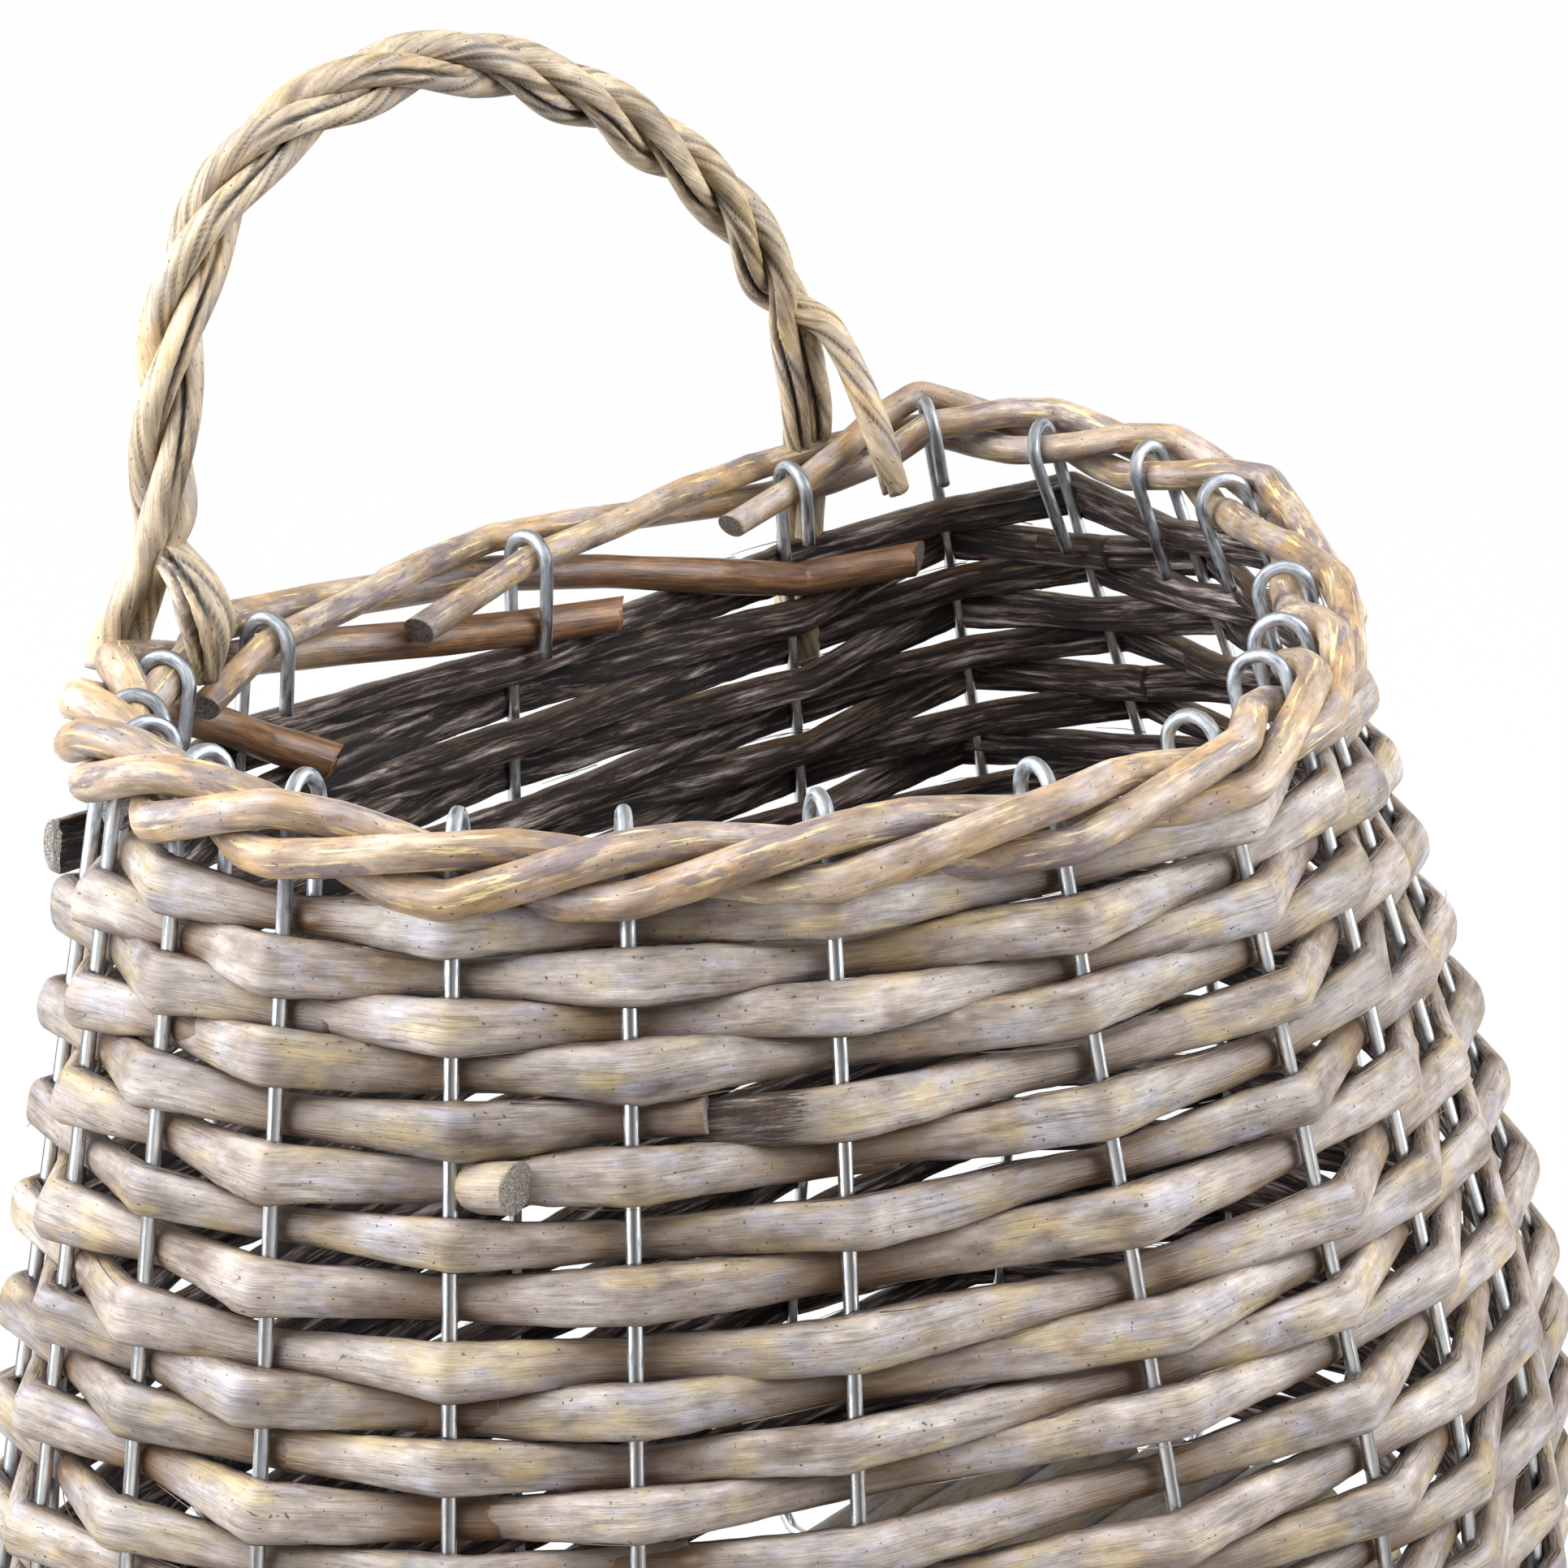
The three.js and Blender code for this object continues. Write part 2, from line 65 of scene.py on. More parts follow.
# How far each stake stands above the common height, in rods' thicknesses, and the drop at which
# none of that is left
RISES = np.array([0, -0.45, -0.7, 0.55, 0, 0, 0, 0, 0, 0, 0, 0, 0.15, 0.15, 0.2, 0.4, 0.3, 0.25,
                  0.2, 0.25])
RISE_FADE = 120.0
# Places among the stakes, and how much further the hooks and the border stand up there
LIFT_PLACES = (2, 3, 6, 7.5, 14, 15, 17, 19, 20)
LIFTS = (0, 2.4, 2.2, 0, 0, 3, 2.8, 1.8, 0)

# The stakes' wire, the gap beside it, the tails inside and the turned-in feet
WIRE = 2.5
WIRE_GAP = 0.48
TAILS = 17.0 * np.array([0.7, 1.05, 0.6, 0.65, 1.25, 1.3, *[1.0] * 14])
FOOT = 26.0
FOOT_BEND = 3.2

# The border's rods, how much thicker pressed rods look, how far each end runs on, dips and
# leans in, and the bark left on the butts
ROD = 6.0
ROD_TIP = 4.6
ROD_GAP = 1.0
ROD_SWELL = 1.16
BUTT_OVERRUNS = (23.5, 18.5, 12.5)
BUTT_DIPS = (2.8, 0.8, 6.4)
BUTT_SPLAY = 4.2
TIP_OVERRUNS = (34.0, 24.0, 18.6)
TIP_DIPS = (5.0, 4.5, 3.0)
TIP_SPLAYS = (4.0, 2.5, 2.4)
BARK_LENGTHS = (105, 80, 55)
BARK_FADE = 30
# The border is beaten down at the front: how far, from how many places away from the middle of
# the back, and over how many more places it gets there
WALE_SINK = 3.4
BACK_MIDDLE = 0.8
SINK_START = 2.8
SINK_FADE = 3.4

# The rows: the first and the last one's place, the dip of the first one at the back, and the
# thickness and height of a split rod, which is higher outside the stakes than inside
ROWS = 28
FIRST_ROW_DROP = 18.6
LAST_ROW_RISE = 14.9
BACK_ROW_DIP = 7.4
BACK_ROW_SHARES = np.array([1, 1, 1, 0.5, *[0] * 15, 0.5])
# The upper rows were pushed up a little round the front and the sides: how far, and from how
# many places away from the second stake, and over how many more, that lift grows
ROW_LIFTS = np.array([0, 1, 2.3, 3.1, 3, 3, 2.4, 1.9, 0.2, 1, 1.8, 2.5, 1.6, 0.7, *[0] * 14])
ROW_LIFT_START = 2
ROW_LIFT_FADE = 3
WEAVER_THICK = 3.8
WEAVER_HEIGHT = 7.75
OUTSIDE_HEIGHT = 1.5
BUD_GAP = 105
STRAY_GAP = 40  # between stray fibres along a rod
STRAY_RADIUS = 0.12

# The handle: its rods, its reach, and its middle line as shares of the half span and the rise
STRAND = 5.0
STRAND_GAP = 0.75
STRAND_SWELL = 1.15
HANDLE_HALF_SPAN = 87.0
HANDLE_RISE = 88.0
HANDLE_SETBACK = 4.0
HANDLE_TURNS = 11 / 3
HANDLE_LINE = np.array([[-0.91, 0.12], [-0.9, 0.27], [-0.885, 0.42], [-0.84, 0.63],
                        [-0.73, 0.82], [-0.56, 0.935], [-0.26, 1], [0, 0.985], [0.37, 0.83],
                        [0.73, 0.58], [0.9, 0.37], [0.965, 0.2], [0.98, 0.12]])

# The base's split rods, the height that they lie at and how far they end inside the wall
BASE_PITCH = 11.5
BASE_THICK = 6.2
BASE_HEIGHT = 0.2
BASE_INSET = 4

# The hooks' radius, the reach of a row off the stakes' centre lines, and the hooks' drop
HOOK = WIRE / 2 + WIRE_GAP + ROD / 2
WEAVE_OFFSET = WIRE / 2 + WIRE_GAP + WEAVER_THICK / 2
HOOK_DROP = HOOK + WIRE / 2
UP = np.array([0.0, 0.0, 1.0])

# The columns of a rod's look, and of a wire's
SPLIT, TONE, CUT, DIRT_AND_SHADE, BARK, SPLIT_AND_GROOVE_SHADE = range(6)
LOOKS = 6
PAINTED_REFLECTION, BENT = range(2)
CAP_RINGS = (0.93, 0.5)  # the rings that close a cut end, as shares of its outline


def unit(vectors):
    """Each vector divided by its own length."""
    return vectors / np.linalg.norm(vectors, axis=-1, keepdims=True)


def wobble(distance, scale, seed):
    """A smooth chance curve between -1 and 1: chance values one scale apart, joined by cosines."""
    count, middle = 4096, 512
    values = np.random.default_rng(seed).uniform(-1, 1, count)
    place = np.asarray(distance, float) / scale + middle
    low = np.floor(place).astype(int)
    share = (1 - np.cos(np.pi * (place - low))) / 2
    return values[low % count] * (1 - share) + values[(low + 1) % count] * share


def grain_noise(along, across, along_scale, across_scale, seed):
    """A smooth chance surface: chance values on a grid, joined by cosines both ways."""
    long, wide = 512, 64
    values = np.random.default_rng(seed).uniform(-1, 1, (long, wide))
    u = along / along_scale + 100
    v = across / across_scale + 30
    i, j = np.floor(u).astype(int), np.floor(v).astype(int)
    a = (1 - np.cos(np.pi * (u - i))) / 2
    b = (1 - np.cos(np.pi * (v - j))) / 2
    near, far = (values[row % long, j % wide] * (1 - b) + values[row % long, (j + 1) % wide] * b
                 for row in (i, i + 1))
    return near * (1 - a) + far * a


def wall_spread(drop):
    """How far the wall stands out past the mouth: a straight flare, then an even turn inwards."""
    turned = np.maximum(drop - STRAIGHT_DROP, 0)
    return FLARE * drop - (FLARE - BASE_LEAN) / (CROWN_HEIGHT - STRAIGHT_DROP) * turned**2 / 2


def wall_point(degrees, drop):
    """The wall's plan: |x/a|^n + |y/b|^n = 1, with a squarer power behind than in front."""
    spread = wall_spread(drop)
    depth = MOUTH_DEPTH + spread
    corner = CORNER_SHARE * depth
    cosine, sine = np.cos(np.radians(degrees)), np.sin(np.radians(degrees))
    power = np.where(sine > 0, BACK_POWER, FRONT_POWER)
    reach = (np.abs(cosine)**power + np.abs(sine)**power)**(-1 / power)
    half = np.where(sine > 0, corner, depth - corner)
    across = (MOUTH_HALF_WIDTH + spread) * reach * cosine
    return np.stack([across, half * reach * sine - corner, CROWN_HEIGHT - drop + 0 * across], -1)


def stake_degrees(stake, drop):
    """A stake's place round the plan: it turns evenly from its crown's angle to its belly's."""
    share = np.minimum(drop / BELLY_DROP, 1)
    return CROWN_ANGLES[stake] + (BELLY_ANGLES[stake] - CROWN_ANGLES[stake]) * share


def stake_point(stake, drop):
    """A point on a stake's centre line, with the unevenness of the crowns fading downwards."""
    stake = np.asarray(stake) % STAKES
    drop = np.asarray(drop, float)
    point = wall_point(stake_degrees(stake, drop), drop)
    point[..., 2] += RISES[stake] * ROD * np.maximum(1 - drop / RISE_FADE, 0)
    return point


def stake_axes(stake, drop):
    """The directions out of the basket and up along the stake at points on stakes."""
    stake = np.asarray(stake) % STAKES
    drop = np.asarray(drop, float)
    degrees = stake_degrees(stake, drop)
    round_way = wall_point(degrees + 0.05, drop) - wall_point(degrees - 0.05, drop)
    rise = unit(stake_point(stake, drop - 0.5) - stake_point(stake, drop + 0.5))
    outward = np.cross(round_way, UP)
    outward = unit(outward - np.sum(outward * rise, -1, keepdims=True) * rise)
    return outward, rise


def softened(stations, spacing, softness):
    """Even samples along the polyline of the first three columns, each one the mean of its
    neighbours weighted by a bell curve, so corners are rounded to about the softness."""
    steps = np.linalg.norm(np.diff(stations[:, :3], axis=0), axis=1)
    length = np.concatenate([[0], np.cumsum(steps)])
    count = max(int(length[-1] / spacing), 4)
    even = np.linspace(0, length[-1], count)
    dense = np.stack([np.interp(even, length, column) for column in stations.T], -1)
    reach = min(max(int(3 * softness / spacing), 1), count - 2)
    weight = np.exp(-0.5 * (np.arange(-reach, reach + 1) * spacing / softness)**2)
    before = 2 * dense[0] - dense[reach:0:-1]
    after = 2 * dense[-1] - dense[-2:-reach - 2:-1]
    padded = np.concatenate([before, dense, after])
    weight /= weight.sum()
    return np.stack([np.convolve(column, weight, "valid") for column in padded.T], -1)


def along_path(path):
    """Unit tangents and distances along a path."""
    tangent = unit(np.gradient(path, axis=0))
    steps = np.linalg.norm(np.diff(path, axis=0), axis=1)
    return tangent, np.concatenate([[0], np.cumsum(steps)])


def carried_axes(path, first):
    """Two directions across a path, carried along it without twist."""
    tangent, _ = along_path(path)
    across = np.empty_like(path)
    side = np.asarray(first, float)
    for place, way in enumerate(tangent):
        side = side - side.dot(way) * way
        side = side / np.linalg.norm(side)
        across[place] = side
    return across, np.cross(tangent, across)


def new_object(name, data):
    """An object at the origin for a mesh, a camera or a lamp."""
    made = bpy.data.objects.new(name, data)
    bpy.context.collection.objects.link(made)
    return made


def ring_angles(sides):
    """Even angles round a section, as one row."""
    return np.linspace(0, 2 * np.pi, sides, endpoint=False)[None]


class Pieces:
    """Swept solids gathered for one mesh, with the coordinates that their grain follows. A rod's
    look says how far it is torn, pale, cut, darkened by dirt and painted shade, barked and split
    open, with painted shade in the splits, at each point."""

    def __init__(self):
        self.points, self.along, self.look = [], [], []
        self.quads, self.caps, self.count = [], [], 0

    def sweep(self, path, across, upward, x, y, look, start=0.0, slants=((0,) * 3,) * 2,
              twist=0.0):
        """Surface = path + across * x + upward * y for a ring of (x, y) at each path point. The
        grain coordinate is (distance, x, y), so the pattern follows the rod and has no seam.
        Each end is cut square, or moved along the rod by its offset . slant. Twist turns the
        grain round the rod, in radians per mm."""
        rings, sides = x.shape
        grid = path[:, None] + across[:, None] * x[..., None] + upward[:, None] * y[..., None]
        tangent, distance = along_path(path)
        for ring, slant in zip((0, -1), slants):
            offset = (grid[ring] - path[ring]) @ np.array(slant, float)
            grid[ring] += offset[:, None] * tangent[ring]
        turned = (x + 1j * y) * np.exp(1j * twist * distance)[:, None]
        along = np.stack([distance[:, None] + start + 0 * x, turned.real, turned.imag], -1)
        look = np.broadcast_to(look, (rings, sides, LOOKS)).copy()
        ends = []
        for ring, way in ((0, -1), (rings - 1, 1)):
            middle = grid[ring].mean(0)
            for share in CAP_RINGS:
                ends.append((ring, middle + (grid[ring] - middle) * share, share))
        index = self.count + np.arange(rings * sides).reshape(rings, sides)
        turn = np.roll(index, -1, axis=1)
        self.quads.append(np.stack([index[:-1], turn[:-1], turn[1:], index[1:]], -1).reshape(-1, 4))
        self.points.append(grid.reshape(-1, 3))
        self.along.append(along.reshape(-1, 3))
        self.look.append(look.reshape(-1, LOOKS))
        self.count += rings * sides
        for side, pair in ((0, ends[:2]), (1, ends[2:])):
            outer = index[-1 if side else 0]
            for ring, points, share in pair:
                inner = self.count + np.arange(sides)
                band = np.stack([outer, np.roll(outer, -1), np.roll(inner, -1), inner], -1)
                self.caps.append(band if side else band[:, ::-1])
                self.points.append(points)
                cap_along = along[ring].copy()
                cap_along[:, 1:] *= share
                self.along.append(cap_along)
                cap_look = look[ring].copy()
                cap_look[:, CUT] = 1
                self.look.append(cap_look)
                self.count += sides
                outer = inner
            centre = np.full(sides, self.count)
            self.points.append(points.mean(0)[None])
            self.along.append(cap_along.mean(0)[None])
            self.look.append(cap_look.mean(0)[None])
            self.count += 1
            fan = np.stack([outer, np.roll(outer, -1), centre, centre], -1)
            self.caps.append(fan if side else fan[:, [1, 0, 2, 3]])

    def piece(self, name, material, nodes):
        """One object in the part's frame that stands for the named nodes."""
        quads = np.concatenate(self.quads)
        caps = np.concatenate(self.caps)
        is_fan = caps[:, 2] == caps[:, 3]
        bands, fans = caps[~is_fan], caps[is_fan][:, :3]
        loops = np.concatenate([quads.ravel(), bands.ravel(), fans.ravel()])
        fours = len(quads) + len(bands)
        starts = np.concatenate([4 * np.arange(fours), 4 * fours + 3 * np.arange(len(fans))])
        points = (np.concatenate(self.points) - [*OUTLINE_MIDDLE, 0]) * MM
        mesh = bpy.data.meshes.new(name)
        mesh.vertices.add(len(points))
        mesh.vertices.foreach_set("co", points.astype(np.float32).ravel())
        mesh.loops.add(len(loops))
        mesh.loops.foreach_set("vertex_index", loops.astype(np.int32))
        mesh.polygons.add(len(starts))
        mesh.polygons.foreach_set("loop_start", starts.astype(np.int32))
        smooth = np.arange(len(starts)) < len(quads)
        mesh.polygons.foreach_set("use_smooth", smooth)
        mesh.update(calc_edges=True)
        look = np.concatenate(self.look)
        coordinates = {"along": np.concatenate(self.along) * MM, "look": look[:, :3],
                       "wear_and_shade": look[:, 3:]}
        for label, values in coordinates.items():
            layer = mesh.attributes.new(label, "FLOAT_VECTOR", "POINT")
            layer.data.foreach_set("vector", values.astype(np.float32).ravel())
        mesh.materials.append(material)
        made = new_object(name, mesh)
        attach(made, "root")
        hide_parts(*nodes)


def linear(code):
    """An sRGB hex colour as linear values."""
    parts = [int(code[place:place + 2], 16) / 255 for place in (1, 3, 5)]
    return (*[c / 12.92 if c <= 0.04045 else ((c + 0.055) / 1.055)**2.4 for c in parts], 1.0)


def add(tree, kind, links=(), stops=(), **settings):
    """Adds a shader node with its settings and its ramp's stops. Its inputs, by name or in order,
    are set to values, colours or linked sockets. It gives the first output that is in use."""
    made = tree.nodes.new("ShaderNode" + kind)
    for key, value in settings.items():
        setattr(made, key, value)
    for key, value in links.items() if isinstance(links, dict) else enumerate(links):
        if isinstance(value, bpy.types.NodeSocket):
            tree.links.new(value, made.inputs[key])
        else:
            made.inputs[key].default_value = linear(value) if isinstance(value, str) else value
    for place, (position, colour) in enumerate(stops):
        elements = made.color_ramp.elements
        element = elements[place] if place < 2 else elements.new(position)
        element.position, element.color = position, linear(colour)
    return next((output for output in made.outputs if output.enabled), None)


def new_material(name):
    """An empty material and its node tree."""
    material = bpy.data.materials.new(name)
    material.use_nodes = True
    material.node_tree.nodes.clear()
    return material, material.node_tree


def attribute(tree, name):
    """A vector that each point of the mesh carries."""
    return add(tree, "Attribute", attribute_name=name).node.outputs["Vector"]


def chance_pattern(tree, along, size, detail, rough):
    """Noise whose lumps have a size in mm along the rod or wire and in both ways across it."""
    scale = tuple(1 / (MM * s) for s in size)
    placed = add(tree, "Mapping", {"Vector": along, "Scale": scale})
    return add(tree, "TexNoise", {"Vector": placed, "Scale": 1.0, "Detail": detail,
                                  "Roughness": rough})


# Patterns of willow, with their size in mm, detail and roughness: long fibres, fine fibres that
# only show close up, blotches of the grey wash, warm patches, dry patches, lichen-like spots
# with hard edges, streaks, pin-point specks, mottling and torn ridges
PATTERNS = {
    "fibre": ((12, 0.7, 0.7), 4, 0.55),
    "fine": ((5, 0.3, 0.3), 3, 0.6),
    "wash": ((17, 5, 5), 5, 0.62),
    "warm": ((13, 6, 6), 3, 0.5),
    "dry": ((11, 5, 5), 3, 0.55),
    "spot": ((15, 4.6, 4.6), 6, 0.62),
    "streak": ((11, 1.0, 1.0), 4, 0.6),
    "speck": ((0.8, 0.6, 0.6), 0, 0.5),
    "mottle": ((4.5, 1.8, 1.8), 5, 0.65),
    "ridge": ((20, 1.6, 1.6), 7, 0.68),
}
WOOD_IOR = 1.5


def willow(name, skin, washes, brown, torn, gloss, fibre_height):
    """Peeled willow under a thin grey wash: a satin skin with soft blotches, faint fibres and
    specks on the round side, and torn dark fibre on the split side. Each wash lays a colour
    where its pattern rises from one value to another, up to a most."""
    material, tree = new_material(name)
    along = attribute(tree, "along")
    split, tone, cut = add(tree, "SeparateXYZ", [attribute(tree, "look")]).node.outputs
    dirt_and_shade, bark, split_and_groove_shade = add(tree, "SeparateXYZ", [attribute(tree, "wear_and_shade")]).node.outputs
    pattern = {label: chance_pattern(tree, along, *how) for label, how in PATTERNS.items()}

    # a Mix node takes its share at input 0, two numbers at 2 and 3 or two colours at 6 and 7
    body = add(tree, "ValToRGB", [pattern["wash"]], skin)
    for label, start, end, most, colour in washes:
        amount = add(tree, "MapRange", [pattern[label], start, end, 0.0, most])
        body = add(tree, "Mix", {0: amount, 6: body, 7: colour}, data_type="RGBA")
    barky = add(tree, "ValToRGB", [pattern["streak"]], brown)
    body = add(tree, "Mix", {0: bark, 6: body, 7: barky}, data_type="RGBA")
    # faint fibres, mottling and the tone of each rod darken the skin
    for limits in ([pattern["fibre"], 0.32, 0.6, 0.82, 1.04],
                   [pattern["mottle"], 0.34, 0.66, 0.72, 1.18], [tone, 0.0, 1.0, 0.66, 1.06]):
        shade = add(tree, "MapRange", limits)
        body = add(tree, "Mix", {0: 1.0, 6: body, 7: shade}, data_type="RGBA",
                   blend_type="MULTIPLY")

    # the torn side, whose edge is ragged, with straw flecks on its ridges; its colour follows the
    # relief of the ridges, with painted shade in the hollows and a painted highlight on the tops
    inside = add(tree, "ValToRGB", [pattern["ridge"]], torn[:4])
    fleck = add(tree, "MapRange", [pattern["streak"], 0.62, 0.72, 0.0, 0.7])
    inside = add(tree, "Mix", {0: fleck, 6: inside, 7: torn[4][1]}, data_type="RGBA")
    frayed = add(tree, "Math", [pattern["fine"], 0.7, split], operation="MULTIPLY_ADD")
    is_torn = add(tree, "MapRange", [frayed, 0.78, 0.92])
    colour = add(tree, "Mix", {0: is_torn, 6: body, 7: inside}, data_type="RGBA")
    # dirt and painted shade in streaks, painted shade that darkens open splits and grooves nearly
    # to black, and the pale pith of cut ends
    ragged = add(tree, "Math", [pattern["streak"], 0.9, 0.35], operation="MULTIPLY_ADD")
    soiled_and_shaded = add(tree, "Math", [dirt_and_shade, ragged], operation="MULTIPLY", use_clamp=True)
    pith = add(tree, "ValToRGB", [pattern["fine"]], ((0.4, "#4c433d"), (0.66, "#978c80")))
    for amount, over in ((soiled_and_shaded, "#583c22"), (split_and_groove_shade, "#1a110c"), (cut, pith)):
        colour = add(tree, "Mix", {0: amount, 6: colour, 7: over}, data_type="RGBA")

    # relief: faint fibres on the skin, and ridges eleven times as strong where it is torn
    fibres = add(tree, "Math", [pattern["fibre"], pattern["fine"]], operation="ADD")
    strength = add(tree, "Math", [is_torn, 3.0, 0.3], operation="MULTIPLY_ADD")
    ridges = add(tree, "Mix", {0: is_torn, 2: fibres, 3: pattern["ridge"]})
    height = add(tree, "Math", [ridges, strength], operation="MULTIPLY")
    bump = add(tree, "Bump", {"Height": height, "Strength": 1.0, "Distance": fibre_height * MM})
    rough = add(tree, "MapRange", [is_torn, 0.0, 1.0, gloss, 0.85])
    shader = add(tree, "BsdfPrincipled", {"Base Color": colour, "Roughness": rough,
                                          "IOR": WOOD_IOR, "Normal": bump})
    add(tree, "OutputMaterial", {"Surface": shader})
    return material


def galvanised_wire():
    """Drawn steel wire with a dull zinc skin: grey with soft oxide patches of about 5 mm where
    it was bent, and long bright streaks from the drawing on the straight lengths."""
    material, tree = new_material("galvanised_steel_wire")
    along = attribute(tree, "along")
    line, bent, _ = add(tree, "SeparateXYZ", [attribute(tree, "look")]).node.outputs
    patches = chance_pattern(tree, along, (6, 1.4, 1.4), 4, 0.6)
    streaks = chance_pattern(tree, along, (14, 0.2, 0.2), 3, 0.6)
    dull = add(tree, "Math", [bent, 0.16, patches], operation="MULTIPLY_ADD")
    colour = add(tree, "ValToRGB", [dull],
                 ((0.36, "#dcdcdb"), (0.52, "#c3c3c2"), (0.62, "#b4b7bb"), (0.73, "#85888c"),
                  (0.83, "#4c4f53")))
    # a painted reflection: a thin dark stripe along the wire's outer side stands for the dark
    # middle that the shiny wire reflects
    colour = add(tree, "Mix", {0: line, 6: colour, 7: "#5a5754"}, data_type="RGBA")
    rough = add(tree, "MapRange", [dull, 0.4, 0.72, 0.2, 0.5])
    metal = add(tree, "MapRange", [dull, 0.54, 0.66, 1.0, 0.3])
    marks = add(tree, "Math", [patches, streaks], operation="ADD")
    bump = add(tree, "Bump", {"Height": marks, "Strength": 0.4, "Distance": 0.1 * MM})
    shader = add(tree, "BsdfPrincipled", {"Base Color": colour, "Roughness": rough,
                                          "Metallic": metal, "Normal": bump})
    add(tree, "OutputMaterial", {"Surface": shader})
    return material


# Torn fibre: hollows painted near black as shade, its own brown and grey-brown, ridge tops painted
# pale as a highlight, and straw flecks
TORN_WITH_PAINTED_LIGHT = ((0.41, "#060302"), (0.5, "#2a1a15"), (0.58, "#7a6962"), (0.66, "#c4b8b1"),
        (1.0, "#9a8250"))
BROWN_BARK = ((0.3, "#4a3122"), (0.48, "#6f4c31"), (0.68, "#94683f"))
# Willow split in half, peeled and washed with thin grey: matt, with wash left unevenly on the
# skin, warm wood where it wore off, and dark brown fibre where the split tore it
split_willow = willow(
    "grey_washed_split_willow",
    ((0.28, "#5b4a3e"), (0.43, "#837468"), (0.57, "#9f9185"), (0.74, "#bdb1a7")),
    (("warm", 0.5, 0.66, 0.6, "#ab9362"), ("dry", 0.53, 0.66, 0.55, "#9c979f"),
     ("streak", 0.56, 0.7, 0.65, "#54463c"), ("speck", 0.77, 0.82, 0.85, "#2b2019")),
    ((0.34, "#2c211b"), (0.5, "#5f5246"), (0.68, "#8b7e70")), TORN_WITH_PAINTED_LIGHT, 0.44, 0.5)
# Whole willow rods, peeled and left to age: satin and buff, with grey lichen-like blotches,
# straw-coloured streaks, and brown bark left at the butts
border_willow = willow(
    "peeled_whole_rod_willow",
    ((0.28, "#634e3b"), (0.46, "#8d755d"), (0.6, "#a9927a"), (0.74, "#c8b59e")),
    (("warm", 0.5, 0.63, 0.5, "#b58c58"), ("dry", 0.54, 0.63, 0.5, "#a89a9a"),
     ("spot", 0.54, 0.59, 0.8, "#6b5c5d"), ("streak", 0.58, 0.66, 0.75, "#d9c388"),
     ("speck", 0.77, 0.82, 0.8, "#35271d")),
    BROWN_BARK, TORN_WITH_PAINTED_LIGHT, 0.4, 0.3)
# Whole willow rods, soaked, wrung until their fibres parted, and dried: pale straw, nearly matt,
# with dark streaks that follow the twist
handle_willow = willow(
    "retted_twisted_willow",
    ((0.28, "#7a644c"), (0.46, "#a59075"), (0.6, "#b9a487"), (0.74, "#cfbfa5")),
    (("warm", 0.52, 0.66, 0.5, "#ba985d"), ("dry", 0.54, 0.64, 0.55, "#958883"),
     ("streak", 0.56, 0.66, 0.6, "#54443a"), ("speck", 0.77, 0.82, 0.8, "#241a12")),
    BROWN_BARK, TORN_WITH_PAINTED_LIGHT, 0.48, 0.45)
wire_metal = galvanised_wire()


def row_drop(row, stakes):
    """A row's drop at stakes: even steps down from the first row, which is lower at the back,
    less the row's lift, which fades out towards the back."""
    first = FIRST_ROW_DROP + BACK_ROW_DIP * BACK_ROW_SHARES[stakes % STAKES]
    from_back = np.abs((stakes + STAKES / 2 - 1) % STAKES - STAKES / 2)
    lift = ROW_LIFTS[row] * np.clip((from_back - ROW_LIFT_START) / ROW_LIFT_FADE, 0, 1)
    return first + (CROWN_HEIGHT - LAST_ROW_RISE - first) * row / (ROWS - 1) - lift


def bud_scars(distance, v, seed, gap):
    """Oval marks, about one every gap: the sum of exp(-(du / 2.4)^2 - (dv / 1.5)^2)."""
    random = np.random.default_rng(seed)
    marks = 0 * v
    for place in np.arange(random.uniform(0, gap), distance[-1], gap):
        along = (distance[:, None] - place - random.uniform(-0.4, 0.4) * gap) / 2.4
        marks += np.exp(-along**2 - ((v - random.uniform(-2.4, 2.4)) / 1.5)**2)
    return marks


def weaver_section(distance, high, thick, seed):
    """Half-round split rod: x = t (cos a)^0.5 on the round side, and on the torn side a flat that
    sinks by t/5 in the middle; y = h/2 sin a. Chance ridges run along the grain and are deep on
    the torn side. It also gives how torn each point is, and the dark rings of the bud scars."""
    angle = np.radians(np.linspace(-90, 90, 13))[None]
    round_x = np.cos(angle).clip(0)**0.5
    flat_y = np.linspace(1, -1, 15)[None, 1:-1]
    x = np.concatenate([round_x, 0.2 * flat_y**2 - 0.2], 1) - 0.5
    y = np.concatenate([np.sin(angle), flat_y], 1) / 2
    u = distance[:, None] + 0 * x
    v = y * 7.5 + 0 * u
    ridge = grain_noise(u, v, 22, 1.5, seed) * 0.8 + grain_noise(u, v, 8, 0.7, seed + 1) * 0.5
    skin = grain_noise(u, v, 19, 2.4, seed + 2) * 0.13
    split = np.concatenate([0 * round_x, 1 - flat_y**8], 1)
    scars = bud_scars(distance, v, seed + 5, BUD_GAP) * (split == 0)
    x = x * thick[:, None] + np.where(split > 0, ridge * split, skin + 0.5 * scars)
    ragged = (0.04 * wobble(u + 40 * np.sign(v), 9, seed + 3)
              + 0.03 * wobble(u + 90 * np.sign(v), 2.8, seed + 4))
    y = y * high[:, None] * (1 + ragged)
    edge = np.clip((np.abs(np.sin(angle)) - 0.86) / 0.14, 0, 1) * 0.5
    return x, y, np.concatenate([edge, 1 + 0 * flat_y], 1), 4 * scars * (1 - scars)


